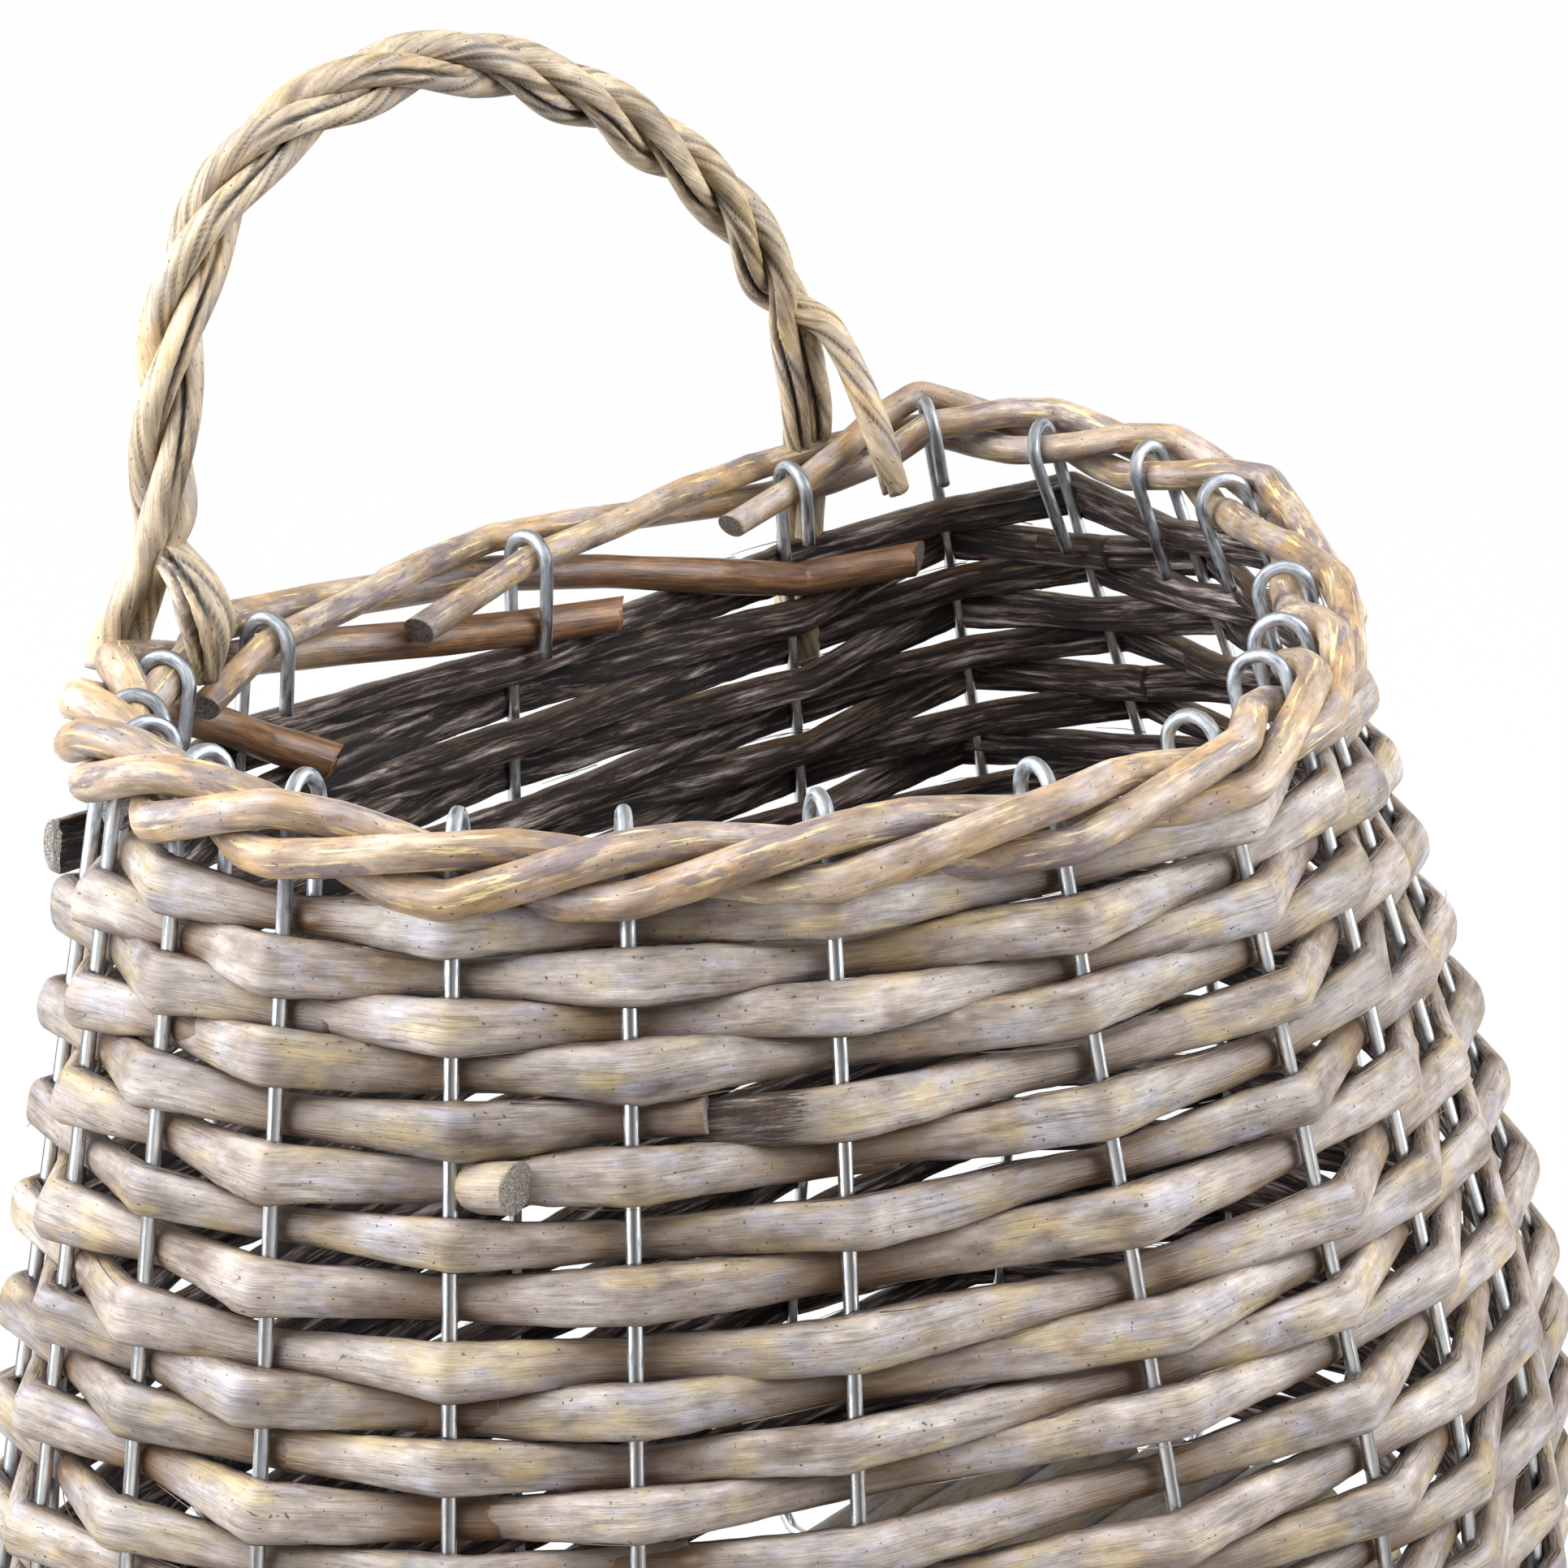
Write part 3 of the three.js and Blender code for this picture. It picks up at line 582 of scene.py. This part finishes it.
def weaver_stations(row, first, last):
    """Stations of a weaver from one stake place to another, going round by falling stake number:
    outside its own stakes and inside the others. Ends between stakes are shares of the way."""
    places = np.unique([first, *np.arange(math.ceil(first), math.floor(last) + 1), last])
    side = 1 - 2 * np.abs((places + 1) % 2 - 1)
    ends = []
    for whole in (np.floor(places).astype(int), np.ceil(places).astype(int)):
        stakes = (row % 2) - whole
        drop = row_drop(row, stakes) + 0.9 * wobble(whole + 37.0 * row, 1.7, 900 + row)
        outward, rise = stake_axes(stakes, drop)
        ends.append(np.concatenate([stake_point(stakes, drop), outward, rise], 1))
    share = (places - np.floor(places))[:, None]
    station = ends[0] * (1 - share) + ends[1] * share
    station[:, :3] += station[:, 3:6] * (side * WEAVE_OFFSET)[:, None]
    # the bends outside the stakes sit a little to either side of them
    shift = (0.05 * wobble(places + 53.0 * row, 1.3, 950 + row) * (side > 0.5))[1:-1, None]
    station[1:-1, :3] += shift * (station[2:, :3] - station[:-2, :3])
    return np.concatenate([station, side[:, None]], 1)


def weaver(pieces, row, start, end, seed, barky=0.0):
    """One split rod of a row from a (place, overrun, lean) to another: its ends run on straight
    by their overruns and lean out of the wall."""
    random = np.random.default_rng(seed)
    stations = weaver_stations(row, start[0], end[0])
    for place, inner, (_, reach, lean) in ((0, 1, start), (-1, -2, end)):
        way = unit(stations[place, :3] - stations[inner, :3])
        extra = stations[place].copy()
        extra[:3] += way * reach + extra[3:6] * lean
        stations = np.insert(stations, 0 if place == 0 else len(stations), extra, axis=0)
    samples = softened(stations, spacing=1.2, softness=0.65)
    path, side = samples[:, :3], samples[:, 9]
    tangent, distance = along_path(path)
    outward = samples[:, 3:6]
    outward = unit(outward - np.sum(outward * tangent, -1, keepdims=True) * tangent)
    rise = unit(np.cross(tangent, outward))
    if rise[0, 2] < 0:
        rise = -rise
    # it waves up and down, tips over and swells a little, all by chance
    path = path + rise * (0.3 * wobble(distance, 17, seed + 10))[:, None]
    lean = 0.17 * wobble(distance, 26, seed + 11)[:, None]
    outward, rise = unit(outward + lean * rise), unit(rise - lean * outward)
    size = random.uniform(0.93, 1.09)
    high = size * (WEAVER_HEIGHT + OUTSIDE_HEIGHT * side + 0.5 * wobble(distance, 24, seed + 12))
    thick = WEAVER_THICK * size * (0.97 + 0.1 * wobble(distance, 20, seed + 13))
    x, y, split, scars = weaver_section(distance, high, thick, seed)
    tone = random.uniform(0.15, 1.0) + 0.25 * wobble(distance, 45, seed + 14)[:, None]
    # dirt and painted shade darken the rod where it dives inside behind the wires, at some of its
    # outer bends and along its rims between the rows
    dirt_and_shade = 1.15 * np.clip((0.3 - side) / 1.1, 0, 1)**1.2
    kink = np.clip((side - 0.9) / 0.1, 0, 1) * np.clip(wobble(distance, 33, seed + 15), 0, 1)
    dirt_and_shade = (dirt_and_shade + 0.8 * kink)[:, None] * (0.75 + 0.35 * wobble(distance, 30, seed + 16)[:, None])
    bark = np.clip(2 - distance / max(barky, 1), 0, 1)[:, None] * (barky > 0)
    # the rims are darker: partly dirt, partly painted shade between the rows
    rim_dirt_and_shade = 0.7 * np.clip((np.abs(y) / high[:, None] - 0.38) / 0.12, 0, 1)**2
    dirt_and_shade = np.maximum(dirt_and_shade, rim_dirt_and_shade) * (1 - 0.8 * (split > 0.6))
    look = np.zeros((*x.shape, LOOKS))
    look[..., SPLIT] = np.maximum(split, 0.55 * bark)
    look[..., TONE] = tone
    look[..., DIRT_AND_SHADE] = dirt_and_shade + 0.5 * scars
    look[..., BARK] = bark
    grain = random.uniform(0, 9000)
    pieces.sweep(path, outward, rise, x, y, look, grain)
    # stray fibres lifted off the edges, drawn thicker than real ones so that they show
    for _ in range(int(distance[-1] / STRAY_GAP)):
        begin = int(random.integers(8, len(path) - 24))
        steps = np.linspace(0, 1, 9)
        span = begin + (steps * random.integers(6, 15)).astype(int)
        edge = random.choice([-0.5, 0.5])
        lift = random.uniform(0.2, 1.6) * np.sin(np.pi * steps / 2 * random.uniform(1, 1.8))
        height = edge * high[span] + random.uniform(-1, 1) * steps
        hair = path[span] + rise[span] * height[:, None]
        hair = hair + outward[span] * (random.uniform(-1.2, 1) + lift)[:, None]
        turn = np.radians([[45, 135, 225, 315]])
        radius = STRAY_RADIUS * (1 - 0.6 * steps)[:, None]
        fibre_look = np.array([random.uniform(0, 1) > 0.6, 0.9, 0, 0.2, 0.3, 0], float)
        pieces.sweep(hair, outward[span], rise[span], radius * np.cos(turn),
                     radius * np.sin(turn), fibre_look, grain)


def cut_butt(pieces, row, place, share, radius, seed):
    """A rod's round butt that comes out from behind a wire and is cut off over its own row."""
    first, second = weaver_stations(row, place, place + 1)[:, :9]
    marks = np.array([[0.13, -WEAVE_OFFSET], [0.16, 0.2], [0.23, 3.0], [share, 4.4]])
    line = first + (second - first) * marks[:, :1]
    line[:, :3] = (first[:3] + WEAVE_OFFSET * first[3:6]
                   + (second[:3] - first[:3] - WEAVE_OFFSET * (first[3:6] + second[3:6]))
                   * marks[:, :1] + line[:, 3:6] * marks[:, 1:])
    path = softened(line, spacing=1.0, softness=1.6)[:, :3]
    _, distance = along_path(path)
    across, upward = carried_axes(path, UP)
    x, y = rod_section(distance, np.full(len(path), radius), seed)
    look = np.zeros((*x.shape, LOOKS))
    look[..., TONE] = 1.0
    pieces.sweep(path, across, upward, x, y, look, 77.0 * seed, ((0, 0, 0), (0.2, 0.25, 0.1)))


# Rows that are joined where it shows: the end of one split rod and the start of the next, each
# with its place, overrun and lean, and the length of bark left on the next one
SHOWN_JOINS = {
    0: ((21, 13, 0.5), (3, 3, -0.5), 0),
    1: ((22, 12, -0.4), (3, 4, -0.5), 0),
    4: ((27.05, 10, 2.4), (7.38, 2, -1.4), 13),
    13: ((22, 9, 0.5), (3, 4, -0.5), 0),
    15: ((27, 9, 0.8), (7, 4, -0.8), 8),
    21: ((30, 12, 0.4), (11, 4, -0.5), 0),
}
CUT_BUTT_ROW = 5


def weaver_rows():
    """Each row as two split rods. They join where SHOWN_JOINS says, or inside at a chance stake,
    and once more inside, about half way round."""
    for row in range(ROWS):
        pieces = Pieces()
        random = np.random.default_rng(500 + row)
        hidden = 1 + 2 * int(random.integers(0, STAKES // 2))
        plain = ((hidden + STAKES + 0.1, 5, -0.5), (hidden - 0.1, 5, -1.4), 0)
        end, start, barky = SHOWN_JOINS.get(row, plain)
        middle = 2 * round((start[0] + int(random.integers(6, 13))) / 2) + 1
        weaver(pieces, row, start, (middle + 0.1, 5, -0.4), 7000 + 40 * row, barky)
        weaver(pieces, row, (middle - 0.1, 5, -1.4), end, 7001 + 40 * row)
        if row == CUT_BUTT_ROW:
            cut_butt(pieces, row, place=7, share=0.37, radius=4.2, seed=11)
        name = f"weaver_row_{row + 1:02d}"
        pieces.piece(f"{name}_look", split_willow, [name])


def crown_lift(place):
    """How far a hook, and the border under it, stands above the common height."""
    return np.interp(place % STAKES, LIFT_PLACES, LIFTS)


def wires():
    """Each stake's line: foot, even bend, wall, half-circle hook and tail."""
    for stake in range(STAKES):
        floor_drop = CROWN_HEIGHT - WIRE / 2
        drops = np.linspace(floor_drop - FOOT_BEND, HOOK_DROP - crown_lift(stake), 60)
        wall = stake_point(stake, drops)
        outward, rise = stake_axes(stake, HOOK_DROP)
        foot_out, _ = stake_axes(stake, floor_drop)
        inward = -unit(foot_out * [1, 1, 0])
        base = stake_point(stake, floor_drop)
        foot = base + inward * np.linspace(FOOT, FOOT_BEND, 12)[:, None]
        turn = np.radians(np.linspace(0, 180, 22))[:, None]
        centre = wall[-1] - outward * HOOK
        hook = centre + HOOK * (outward * np.cos(turn) + rise * np.sin(turn))
        sway = 0.07 * wobble(stake, 0.7, 31) * np.cross(outward, rise)
        tail = hook[-1] - (rise - sway) * np.linspace(0, TAILS[stake], 12)[1:, None]
        line = np.concatenate([foot, wall, hook[1:], tail])
        path = softened(line, spacing=1.3, softness=0.9)
        _, distance = along_path(path)
        across, upward = carried_axes(path, UP)
        angle = ring_angles(sides=14)
        radius = WIRE / 2 * (1 + 0.015 * wobble(distance, 4, 60 + stake)[:, None])
        x, y = radius * np.cos(angle), radius * np.sin(angle)
        look = np.zeros((*x.shape, LOOKS))
        # a thin dark stripe painted down the wire's outer side, as a painted reflection
        look[..., PAINTED_REFLECTION] = np.clip(-8 * np.cos(angle) - 6.6, 0, 1)
        # the zinc dulled where the hook was bent, and that fades out down the wall
        look[..., BENT] = np.clip((path[:, 2] - (CROWN_HEIGHT - 30)) / 20, 0, 1)[:, None]
        pieces = Pieces()
        pieces.sweep(path, across, upward, x, y, look, 300.0 * stake)
        name = f"wire_stake_{stake + 1:02d}"
        pieces.piece(f"{name}_look", wire_metal, [name])


# The way of a border rod past three stakes, three steps for each: shares of the hooks' radius
# outwards and of the rods' spacing downwards. A rod starts by WALE_START instead.
WALE_ROUTE = np.array([[-1, 0.35], [-0.55, 0.82], [0.3, 1.08], [1.1, 1.03], [1.22, 0.7],
                       [1.22, 0.32], [1.05, 0], [0.3, -0.05], [-0.6, 0.12]])
WALE_START = np.array([[-1, 1], [-0.9, 0.6], [0, 0.25]])
WALE_START_DROPS = (3.2, 2.24, 2.78)  # how many spacings down each rod begins
FIRST_WALE_STAKE = 2
WALE_LAPS = (21, 21, 18)
ROD_SPACING = ROD + ROD_GAP
UPPER_DROP = HOOK_DROP - WALE_ROUTE[0, 1] * ROD_SPACING


def border_point(turn, step, shares):
    """A point of the wale: shares of the hook outwards and of the rods' spacing downwards, on
    the straight line between two neighbouring stakes. Away from the back it sinks a little."""
    place = FIRST_WALE_STAKE - turn - step / 3
    from_back = np.abs((place - BACK_MIDDLE + STAKES / 2) % STAKES - STAKES / 2)
    sink = WALE_SINK * np.clip((from_back - SINK_START) / SINK_FADE, 0, 1)
    drop = UPPER_DROP + shares[:, 1] * ROD_SPACING + sink - crown_lift(place)
    ends = []
    for passed in (turn, turn + 1):
        stake = FIRST_WALE_STAKE - passed
        outward, _ = stake_axes(stake, drop)
        ends.append(stake_point(stake, drop) + outward * (shares[:, :1] * HOOK))
    return ends[0] + (ends[1] - ends[0]) * (step / 3)[:, None]


def knots(distance, angle, seed, gap, size):
    """Bud scars: low oval swellings, one about every gap, each on its own side of the rod."""
    random = np.random.default_rng(seed)
    swell = 0 * angle + 0 * distance[:, None]
    for place in np.arange(random.uniform(0, gap), distance[-1], gap):
        place += random.uniform(-0.3, 0.3) * gap
        way = random.uniform(0, 2 * np.pi)
        turn = np.angle(np.exp(1j * (angle - way)))
        swell += size * np.exp(-((distance[:, None] - place) / 2.6)**2 - (turn / 0.5)**2)
    return swell


def rod_section(distance, radius, seed, sides=20):
    """A whole rod: r (1 + chance swellings + bud scars) round the circle."""
    angle = ring_angles(sides)
    size = 1 + 0.05 * wobble(distance, 23, seed)[:, None]
    uneven = 0.035 * grain_noise(distance[:, None] + 0 * angle, 3 * np.sin(angle), 18, 1.3, seed)
    buds = knots(distance, angle, seed + 5, gap=46, size=0.12)
    reach = radius[:, None] * (size + uneven + buds)
    return reach * np.cos(angle), reach * np.sin(angle)


def border_rods():
    """Each rod's line: a low butt inside its first stake, up past the first row, then inside one
    stake and outside two, round to its tip. The butt ends keep their brown bark."""
    for rod, laps in enumerate(WALE_LAPS):
        step = np.tile(np.arange(3), laps)
        turn = rod + np.repeat(np.arange(laps), 3)
        shares = np.tile(WALE_ROUTE, (laps // 3, 1))
        lowest, left = WALE_START_DROPS[rod], WALE_START[:, 1]
        shares[:3] = np.stack([WALE_START[:, 0], 1 + (lowest - 1) * left], -1)
        points = border_point(turn, step, shares)
        last = border_point(np.array([rod + laps]), np.array([0]), WALE_ROUTE[:1])
        first, final = FIRST_WALE_STAKE - rod, FIRST_WALE_STAKE - rod - laps
        marks = stake_point(np.array([first + 1, first, final - 1, final]), UPPER_DROP)
        butt = points[0] + unit(marks[0] - marks[1]) * BUTT_OVERRUNS[rod]
        butt -= BUTT_SPLAY * stake_axes(first, UPPER_DROP)[0] + BUTT_DIPS[rod] * UP
        tip = last[0] + unit(marks[2] - marks[3]) * TIP_OVERRUNS[rod] - TIP_DIPS[rod] * UP
        tip -= TIP_SPLAYS[rod] * stake_axes(final, UPPER_DROP)[0]
        path = softened(np.concatenate([butt[None], points, last, tip[None]]), spacing=1.1,
                        softness=1.15)
        _, distance = along_path(path)
        across, upward = carried_axes(path, UP)
        radius = np.linspace(ROD, ROD_TIP, len(path)) / 2 * ROD_SWELL
        x, y = rod_section(distance, radius, 80 + rod)
        look = np.zeros((*x.shape, LOOKS))
        look[..., TONE] = 0.75 + 0.3 * wobble(distance, 60, 21 + rod)[:, None]
        look[..., BARK] = np.clip((BARK_LENGTHS[rod] - distance) / BARK_FADE, 0, 1)[:, None]
        pieces = Pieces()
        pieces.sweep(path, across, upward, x, y, look, 2500.0 * rod,
                     ((-0.45, -0.5, -0.2), (-0.25, 0.15, 0.3)))
        name = f"border_rod_{rod + 1}"
        pieces.piece(f"{name}_look", border_willow, [name])


TWIST_RADIUS = (STRAND + STRAND_GAP) / math.sqrt(3)
# The way of each rod down into the border at the left and the right foot, from the top: its
# place among the stakes, its reach outwards and its drop below the crowns, in mm. Before them is
# how far short of the arch's end the rod leaves the twist.
LEGS = (
    ((11, ((19.33, 3, -14), (19.33, 6, -6.5), (19.3, 8, -0.4), (19.2, 8.5, 10.5))),
     (20, ((2.33, -2, -23.4), (2.43, -5, -15.3), (2.51, -9, -5.6), (2.57, -10.5, 3.1),
           (2.61, -10, 12)))),
    ((6, ((19.23, 6, -9), (19.13, 8.5, -3.7), (19.04, 8.5, 4.2))),
     (12, ((2.16, 2, -7.6), (2.22, 6.5, 4.5), (2.16, 8.5, 18.7), (2.08, 8.5, 48)))),
    ((6, ((19.29, -5, -11), (19.19, -9.5, -6.3), (19.16, -10, -0.6), (19.19, -9.5, 5))),
     (7, ((2.34, 4, -5), (2.35, 8, 6.5), (2.21, 3, 17.6), (2.1, 2.4, 48)))),
)
GRAIN_TWIST = 1 / 8  # radians per mm by which each rod's own fibres are wrung round it
SPLIT_TWIST = 1 / 24  # and by which the open splits turn
# Long open splits: rod, middle and length along it in mm, and side in degrees
OPEN_SPLITS = ((0, 100, 30, 340), (0, 182, 44, 235), (0, 325, 44, 230), (0, 258, 30, 75),
               (1, 112, 34, 30), (1, 50, 40, 240), (1, 194, 30, 275), (1, 272, 66, 128),
               (2, 22, 34, 175), (2, 12, 26, 140), (2, 68, 40, 300), (2, 140, 36, 115),
               (2, 222, 34, 350), (2, 290, 40, 140))


def handle_curve():
    """The arch's centre line: a smooth curve through its marks, sampled evenly."""
    marks = np.stack([HANDLE_LINE[:, 0] * HANDLE_HALF_SPAN, 0 * HANDLE_LINE[:, 0] - HANDLE_SETBACK,
                      CROWN_HEIGHT + HANDLE_LINE[:, 1] * HANDLE_RISE], -1)
    return softened(marks, spacing=1.0, softness=7.0)


def leg_point(place, reach, drop):
    """A point beside the border: on the line between two stakes, and out from it."""
    stake = math.floor(place)
    start, end = stake_point(stake, max(drop, 0)), stake_point(stake + 1, max(drop, 0))
    outward = np.cross(UP, unit((end - start) * [1, 1, 0]))
    point = start + (end - start) * (place - stake) + outward * reach
    return point - UP * min(drop, 0)


def handle_strands():
    """Each rod: line + r (sideways cos a + backward sin a), a falling evenly along the arch,
    then a leg down into the border at each foot. Its section is a circle cut by grooves that
    follow its fibres, narrow ones all round and a few wide open splits."""
    line = handle_curve()
    tangent, distance = along_path(line)
    backward = np.array([0.0, 1.0, 0.0])
    sideways = unit(np.cross(tangent, backward))
    share = distance / distance[-1]
    for strand in range(3):
        angle = 2 * np.pi * (-0.25 + strand / 3 - HANDLE_TURNS * share)[:, None]
        helix = line + TWIST_RADIUS * (sideways * np.cos(angle) + backward * np.sin(angle))
        (skip, left), (stop, right) = LEGS[strand]
        left, right = (np.array([leg_point(*mark) for mark in leg]) for leg in (left, right))
        path = softened(np.concatenate([left[::-1], helix[skip:-stop], right]), spacing=1.1,
                        softness=2.4)
        _, length = along_path(path)
        across, upward = carried_axes(path, backward)
        sides = 48
        turn = ring_angles(sides)
        groove = np.zeros((len(path), sides))
        for number in range(9):
            way = 0.7 * number + 0.9 * strand + 0.3 * wobble(length, 28, 40 + number)[:, None]
            depth = np.clip(0.15 + 1.6 * wobble(length, 17, 50 + 9 * strand + number), 0, 1)
            gap = np.angle(np.exp(1j * (turn + length[:, None] * GRAIN_TWIST - way)))
            groove += depth[:, None] * np.exp(-(gap / 0.12)**2)
        open_split = np.zeros((len(path), sides))
        for rod, middle, reach, degrees in OPEN_SPLITS:
            if rod == strand:
                depth = np.clip(1.15 - ((length - middle) / (reach / 2))**2, 0, 1)[:, None]
                way = math.radians(degrees) + 0.15 * wobble(length, 12, 90 + middle)[:, None]
                gap = np.angle(np.exp(1j * (turn + length[:, None] * SPLIT_TWIST - way)))
                open_split += depth * np.exp(-(gap / 0.2)**4)
        uneven = 1 + 0.05 * wobble(length, 15, 70 + strand)[:, None]
        cuts = 0.12 * groove.clip(0, 1) + 0.5 * open_split.clip(0, 1)
        radius = STRAND / 2 * STRAND_SWELL * (uneven - cuts)
        look = np.zeros((len(path), sides, LOOKS))
        look[..., TONE] = 0.8 + 0.3 * wobble(length, 40, 33 + strand)[:, None]
        # painted shade: the grooves are darkened, and the open splits and grooves are painted near
        # black
        look[..., DIRT_AND_SHADE] = 0.3 * groove.clip(0, 1)
        look[..., SPLIT_AND_GROOVE_SHADE] = np.clip(np.maximum(1.5 * open_split - 0.35, 0.9 * groove), 0, 1)
        # the third rod has a flattened, pointed end at the left foot
        foot = np.clip(1.25 - length / 34, 0, 1)[:, None] * (strand == 2)
        point = 1 - 0.6 * np.clip(1 - length / 12, 0, 1)[:, None] * (strand == 2)
        x = radius * np.cos(turn) * (1 + 0.12 * foot) * point
        y = radius * np.sin(turn) * (1 + 1.15 * foot) * point
        pieces = Pieces()
        pieces.sweep(path, across, upward, x, y, look, 1400.0 * strand + 500,
                     twist=GRAIN_TWIST)
        name = f"handle_strand_{strand + 1}"
        pieces.piece(f"{name}_look", handle_willow, [name])


def base_mat():
    """Split rods laid side by side, each as long as the plan is wide there."""
    ring = wall_point(np.linspace(0, 360, 721), CROWN_HEIGHT - BASE_HEIGHT)
    depth = MOUTH_DEPTH + wall_spread(CROWN_HEIGHT)
    pieces = Pieces()
    for rod in range(math.ceil(depth / BASE_PITCH)):
        low, high = -(rod + 1) * BASE_PITCH, -rod * BASE_PITCH
        inside = ring[(ring[:, 1] > low) & (ring[:, 1] < high)]
        if len(inside) < 4:  # the plan ends here, and no rod fits in
            continue
        left = inside[inside[:, 0] < 0][:, 0].max() + BASE_INSET
        right = inside[inside[:, 0] > 0][:, 0].min() - BASE_INSET
        centre = np.array([0, (low + high) / 2, BASE_HEIGHT])
        ends = np.array([[left, 0, 0], [right, 0, 0]]) + centre
        path = softened(ends, spacing=2.0, softness=2.0)
        _, distance = along_path(path)
        count = len(path)
        x, y, is_flat, _ = weaver_section(distance, np.full(count, BASE_PITCH * 0.97),
                                          np.full(count, BASE_THICK), 4000 + rod)
        x = np.maximum(x, -BASE_THICK / 2)  # it stands flush
        look = np.zeros((*x.shape, LOOKS))
        look[..., SPLIT], look[..., TONE], look[..., DIRT_AND_SHADE] = is_flat, 0.4, 0.2
        across = np.tile(UP, (count, 1))
        upward = np.tile([0.0, 1.0, 0.0], (count, 1))
        path = path + across * BASE_THICK / 2
        pieces.sweep(path, across, -upward, x, y, look, 900.0 * rod)
    pieces.piece("base_mat_look", split_willow, ["base_mat"])


wires()
weaver_rows()
border_rods()
handle_strands()
base_mat()


def part_frame(point):
    """A point on the stakes' axes, in mm, as a place in the part's frame."""
    return [(point[0] - OUTLINE_MIDDLE[0]) * MM, (point[1] - OUTLINE_MIDDLE[1]) * MM, point[2] * MM]


def stand(made, side, top, back, place):
    """Puts a camera or a lamp at a place on the stakes' axes, looking away from its back."""
    matrix = np.eye(4)
    matrix[:3] = np.stack([side, top, back, part_frame(place)], -1)
    made.matrix_world = Matrix(matrix.tolist())


# The camera, fitted to the photo: how it is turned, tilted and rolled, in degrees, its place in
# mm, and its focal length and the middle of its picture in the photo's pixels
CAMERA_ANGLES = (-48.83, 21.01, -0.81)
CAMERA_PLACE = (-553.1, -560.2, 494.0)
PHOTO_SIZE = 1932
FOCAL_LENGTH = 5500
PICTURE_MIDDLE = (978, 972)
SENSOR = 36


def camera():
    """The photo's camera. It gives its level direction to the right and the one behind it."""
    azimuth, elevation, roll = map(math.radians, CAMERA_ANGLES)
    right = np.array([math.cos(azimuth), math.sin(azimuth), 0])
    back = np.array([math.sin(azimuth) * math.cos(elevation),
                     -math.cos(azimuth) * math.cos(elevation), math.sin(elevation)])
    above = np.cross(back, right)
    side = right * math.cos(roll) + above * math.sin(roll)
    top = above * math.cos(roll) - right * math.sin(roll)
    data = bpy.data.cameras.new("camera")
    data.sensor_width = SENSOR
    data.sensor_fit = "HORIZONTAL"
    data.lens = SENSOR * FOCAL_LENGTH / PHOTO_SIZE
    data.shift_x = (PHOTO_SIZE / 2 - PICTURE_MIDDLE[0]) / PHOTO_SIZE
    data.shift_y = (PICTURE_MIDDLE[1] - PHOTO_SIZE / 2) / PHOTO_SIZE
    data.clip_start, data.clip_end = 0.05, 30
    made = new_object("camera", data)
    stand(made, side, top, back, CAMERA_PLACE)
    bpy.context.scene.camera = made
    return right, back


def seen_directly(tree):
    """One for rays from the camera, also after a mirror or glass, and nought for rays that
    bounce off matt things."""
    rays = add(tree, "LightPath").node.outputs
    seen = rays["Is Camera Ray"]
    for name in ("Is Glossy Ray", "Is Transmission Ray"):
        seen = add(tree, "Math", [seen, rays[name]], operation="MAXIMUM")
    return seen


def floor_and_world():
    """A plain white floor and a white surround. The camera and bright metal see both at full
    white. The floor keeps a little of its own shade, so a shadow shows on it."""
    material, tree = new_material("white_floor")
    matt = add(tree, "BsdfDiffuse", {"Color": (0.6, 0.6, 0.6, 1)})
    white = add(tree, "Emission", {"Color": (1, 1, 1, 1), "Strength": 1.0})
    amount = add(tree, "Math", [seen_directly(tree), 0.99], operation="MULTIPLY")
    add(tree, "OutputMaterial", {"Surface": add(tree, "MixShader", [amount, matt, white])})
    mesh = bpy.data.meshes.new("floor")
    reach = 12
    mesh.from_pydata([(-reach, -reach, 0), (reach, -reach, 0), (reach, reach, 0),
                      (-reach, reach, 0)], [], [(0, 1, 2, 3)])
    mesh.materials.append(material)
    floor = new_object("floor", mesh)
    world = bpy.data.worlds.new("surround")
    world.use_nodes = True
    tree = world.node_tree
    tree.nodes.clear()
    strength = add(tree, "MapRange", [seen_directly(tree), 0.0, 1.0, 0.25, 1.0])
    surround = add(tree, "Background", {"Color": (1, 1, 1, 1), "Strength": strength})
    add(tree, "OutputWorld", {"Surface": surround})
    bpy.context.scene.world = world


DAYLIGHT = (0.87, 0.93, 1.0)
# The softboxes: how far they stand to the right of the basket's middle, nearer the camera and
# up, in mm, their width and height, and their power in watts
SOFTBOXES = {
    "left_softbox": ((-690, 190, 430), (1000, 1000), 25.5),
    "right_softbox": ((740, 90, 350), (600, 900), 14),
    "top_softbox": ((0, 100, 850), (600, 600), 6),
}
BASKET_MIDDLE = np.array([0.0, -90.0, 190.0])


def lamp(name, place, size, power):
    """A soft daylight lamp: a rectangle that faces the basket's middle."""
    data = bpy.data.lights.new(name, "AREA")
    data.shape = "RECTANGLE"
    data.size, data.size_y = size[0] * MM, size[1] * MM
    data.energy = power
    data.color = DAYLIGHT
    back = unit(place - BASKET_MIDDLE)
    side = unit(np.cross(UP, back))
    stand(new_object(name, data), side, np.cross(back, side), back, place)


right, back = camera()
floor_and_world()
nearer = unit(back * [1, 1, 0])
for name, (steps, size, power) in SOFTBOXES.items():
    lamp(name, BASKET_MIDDLE + np.array(steps) @ np.stack([right, nearer, UP]), size, power)
bpy.context.scene.view_settings.view_transform = "Standard"
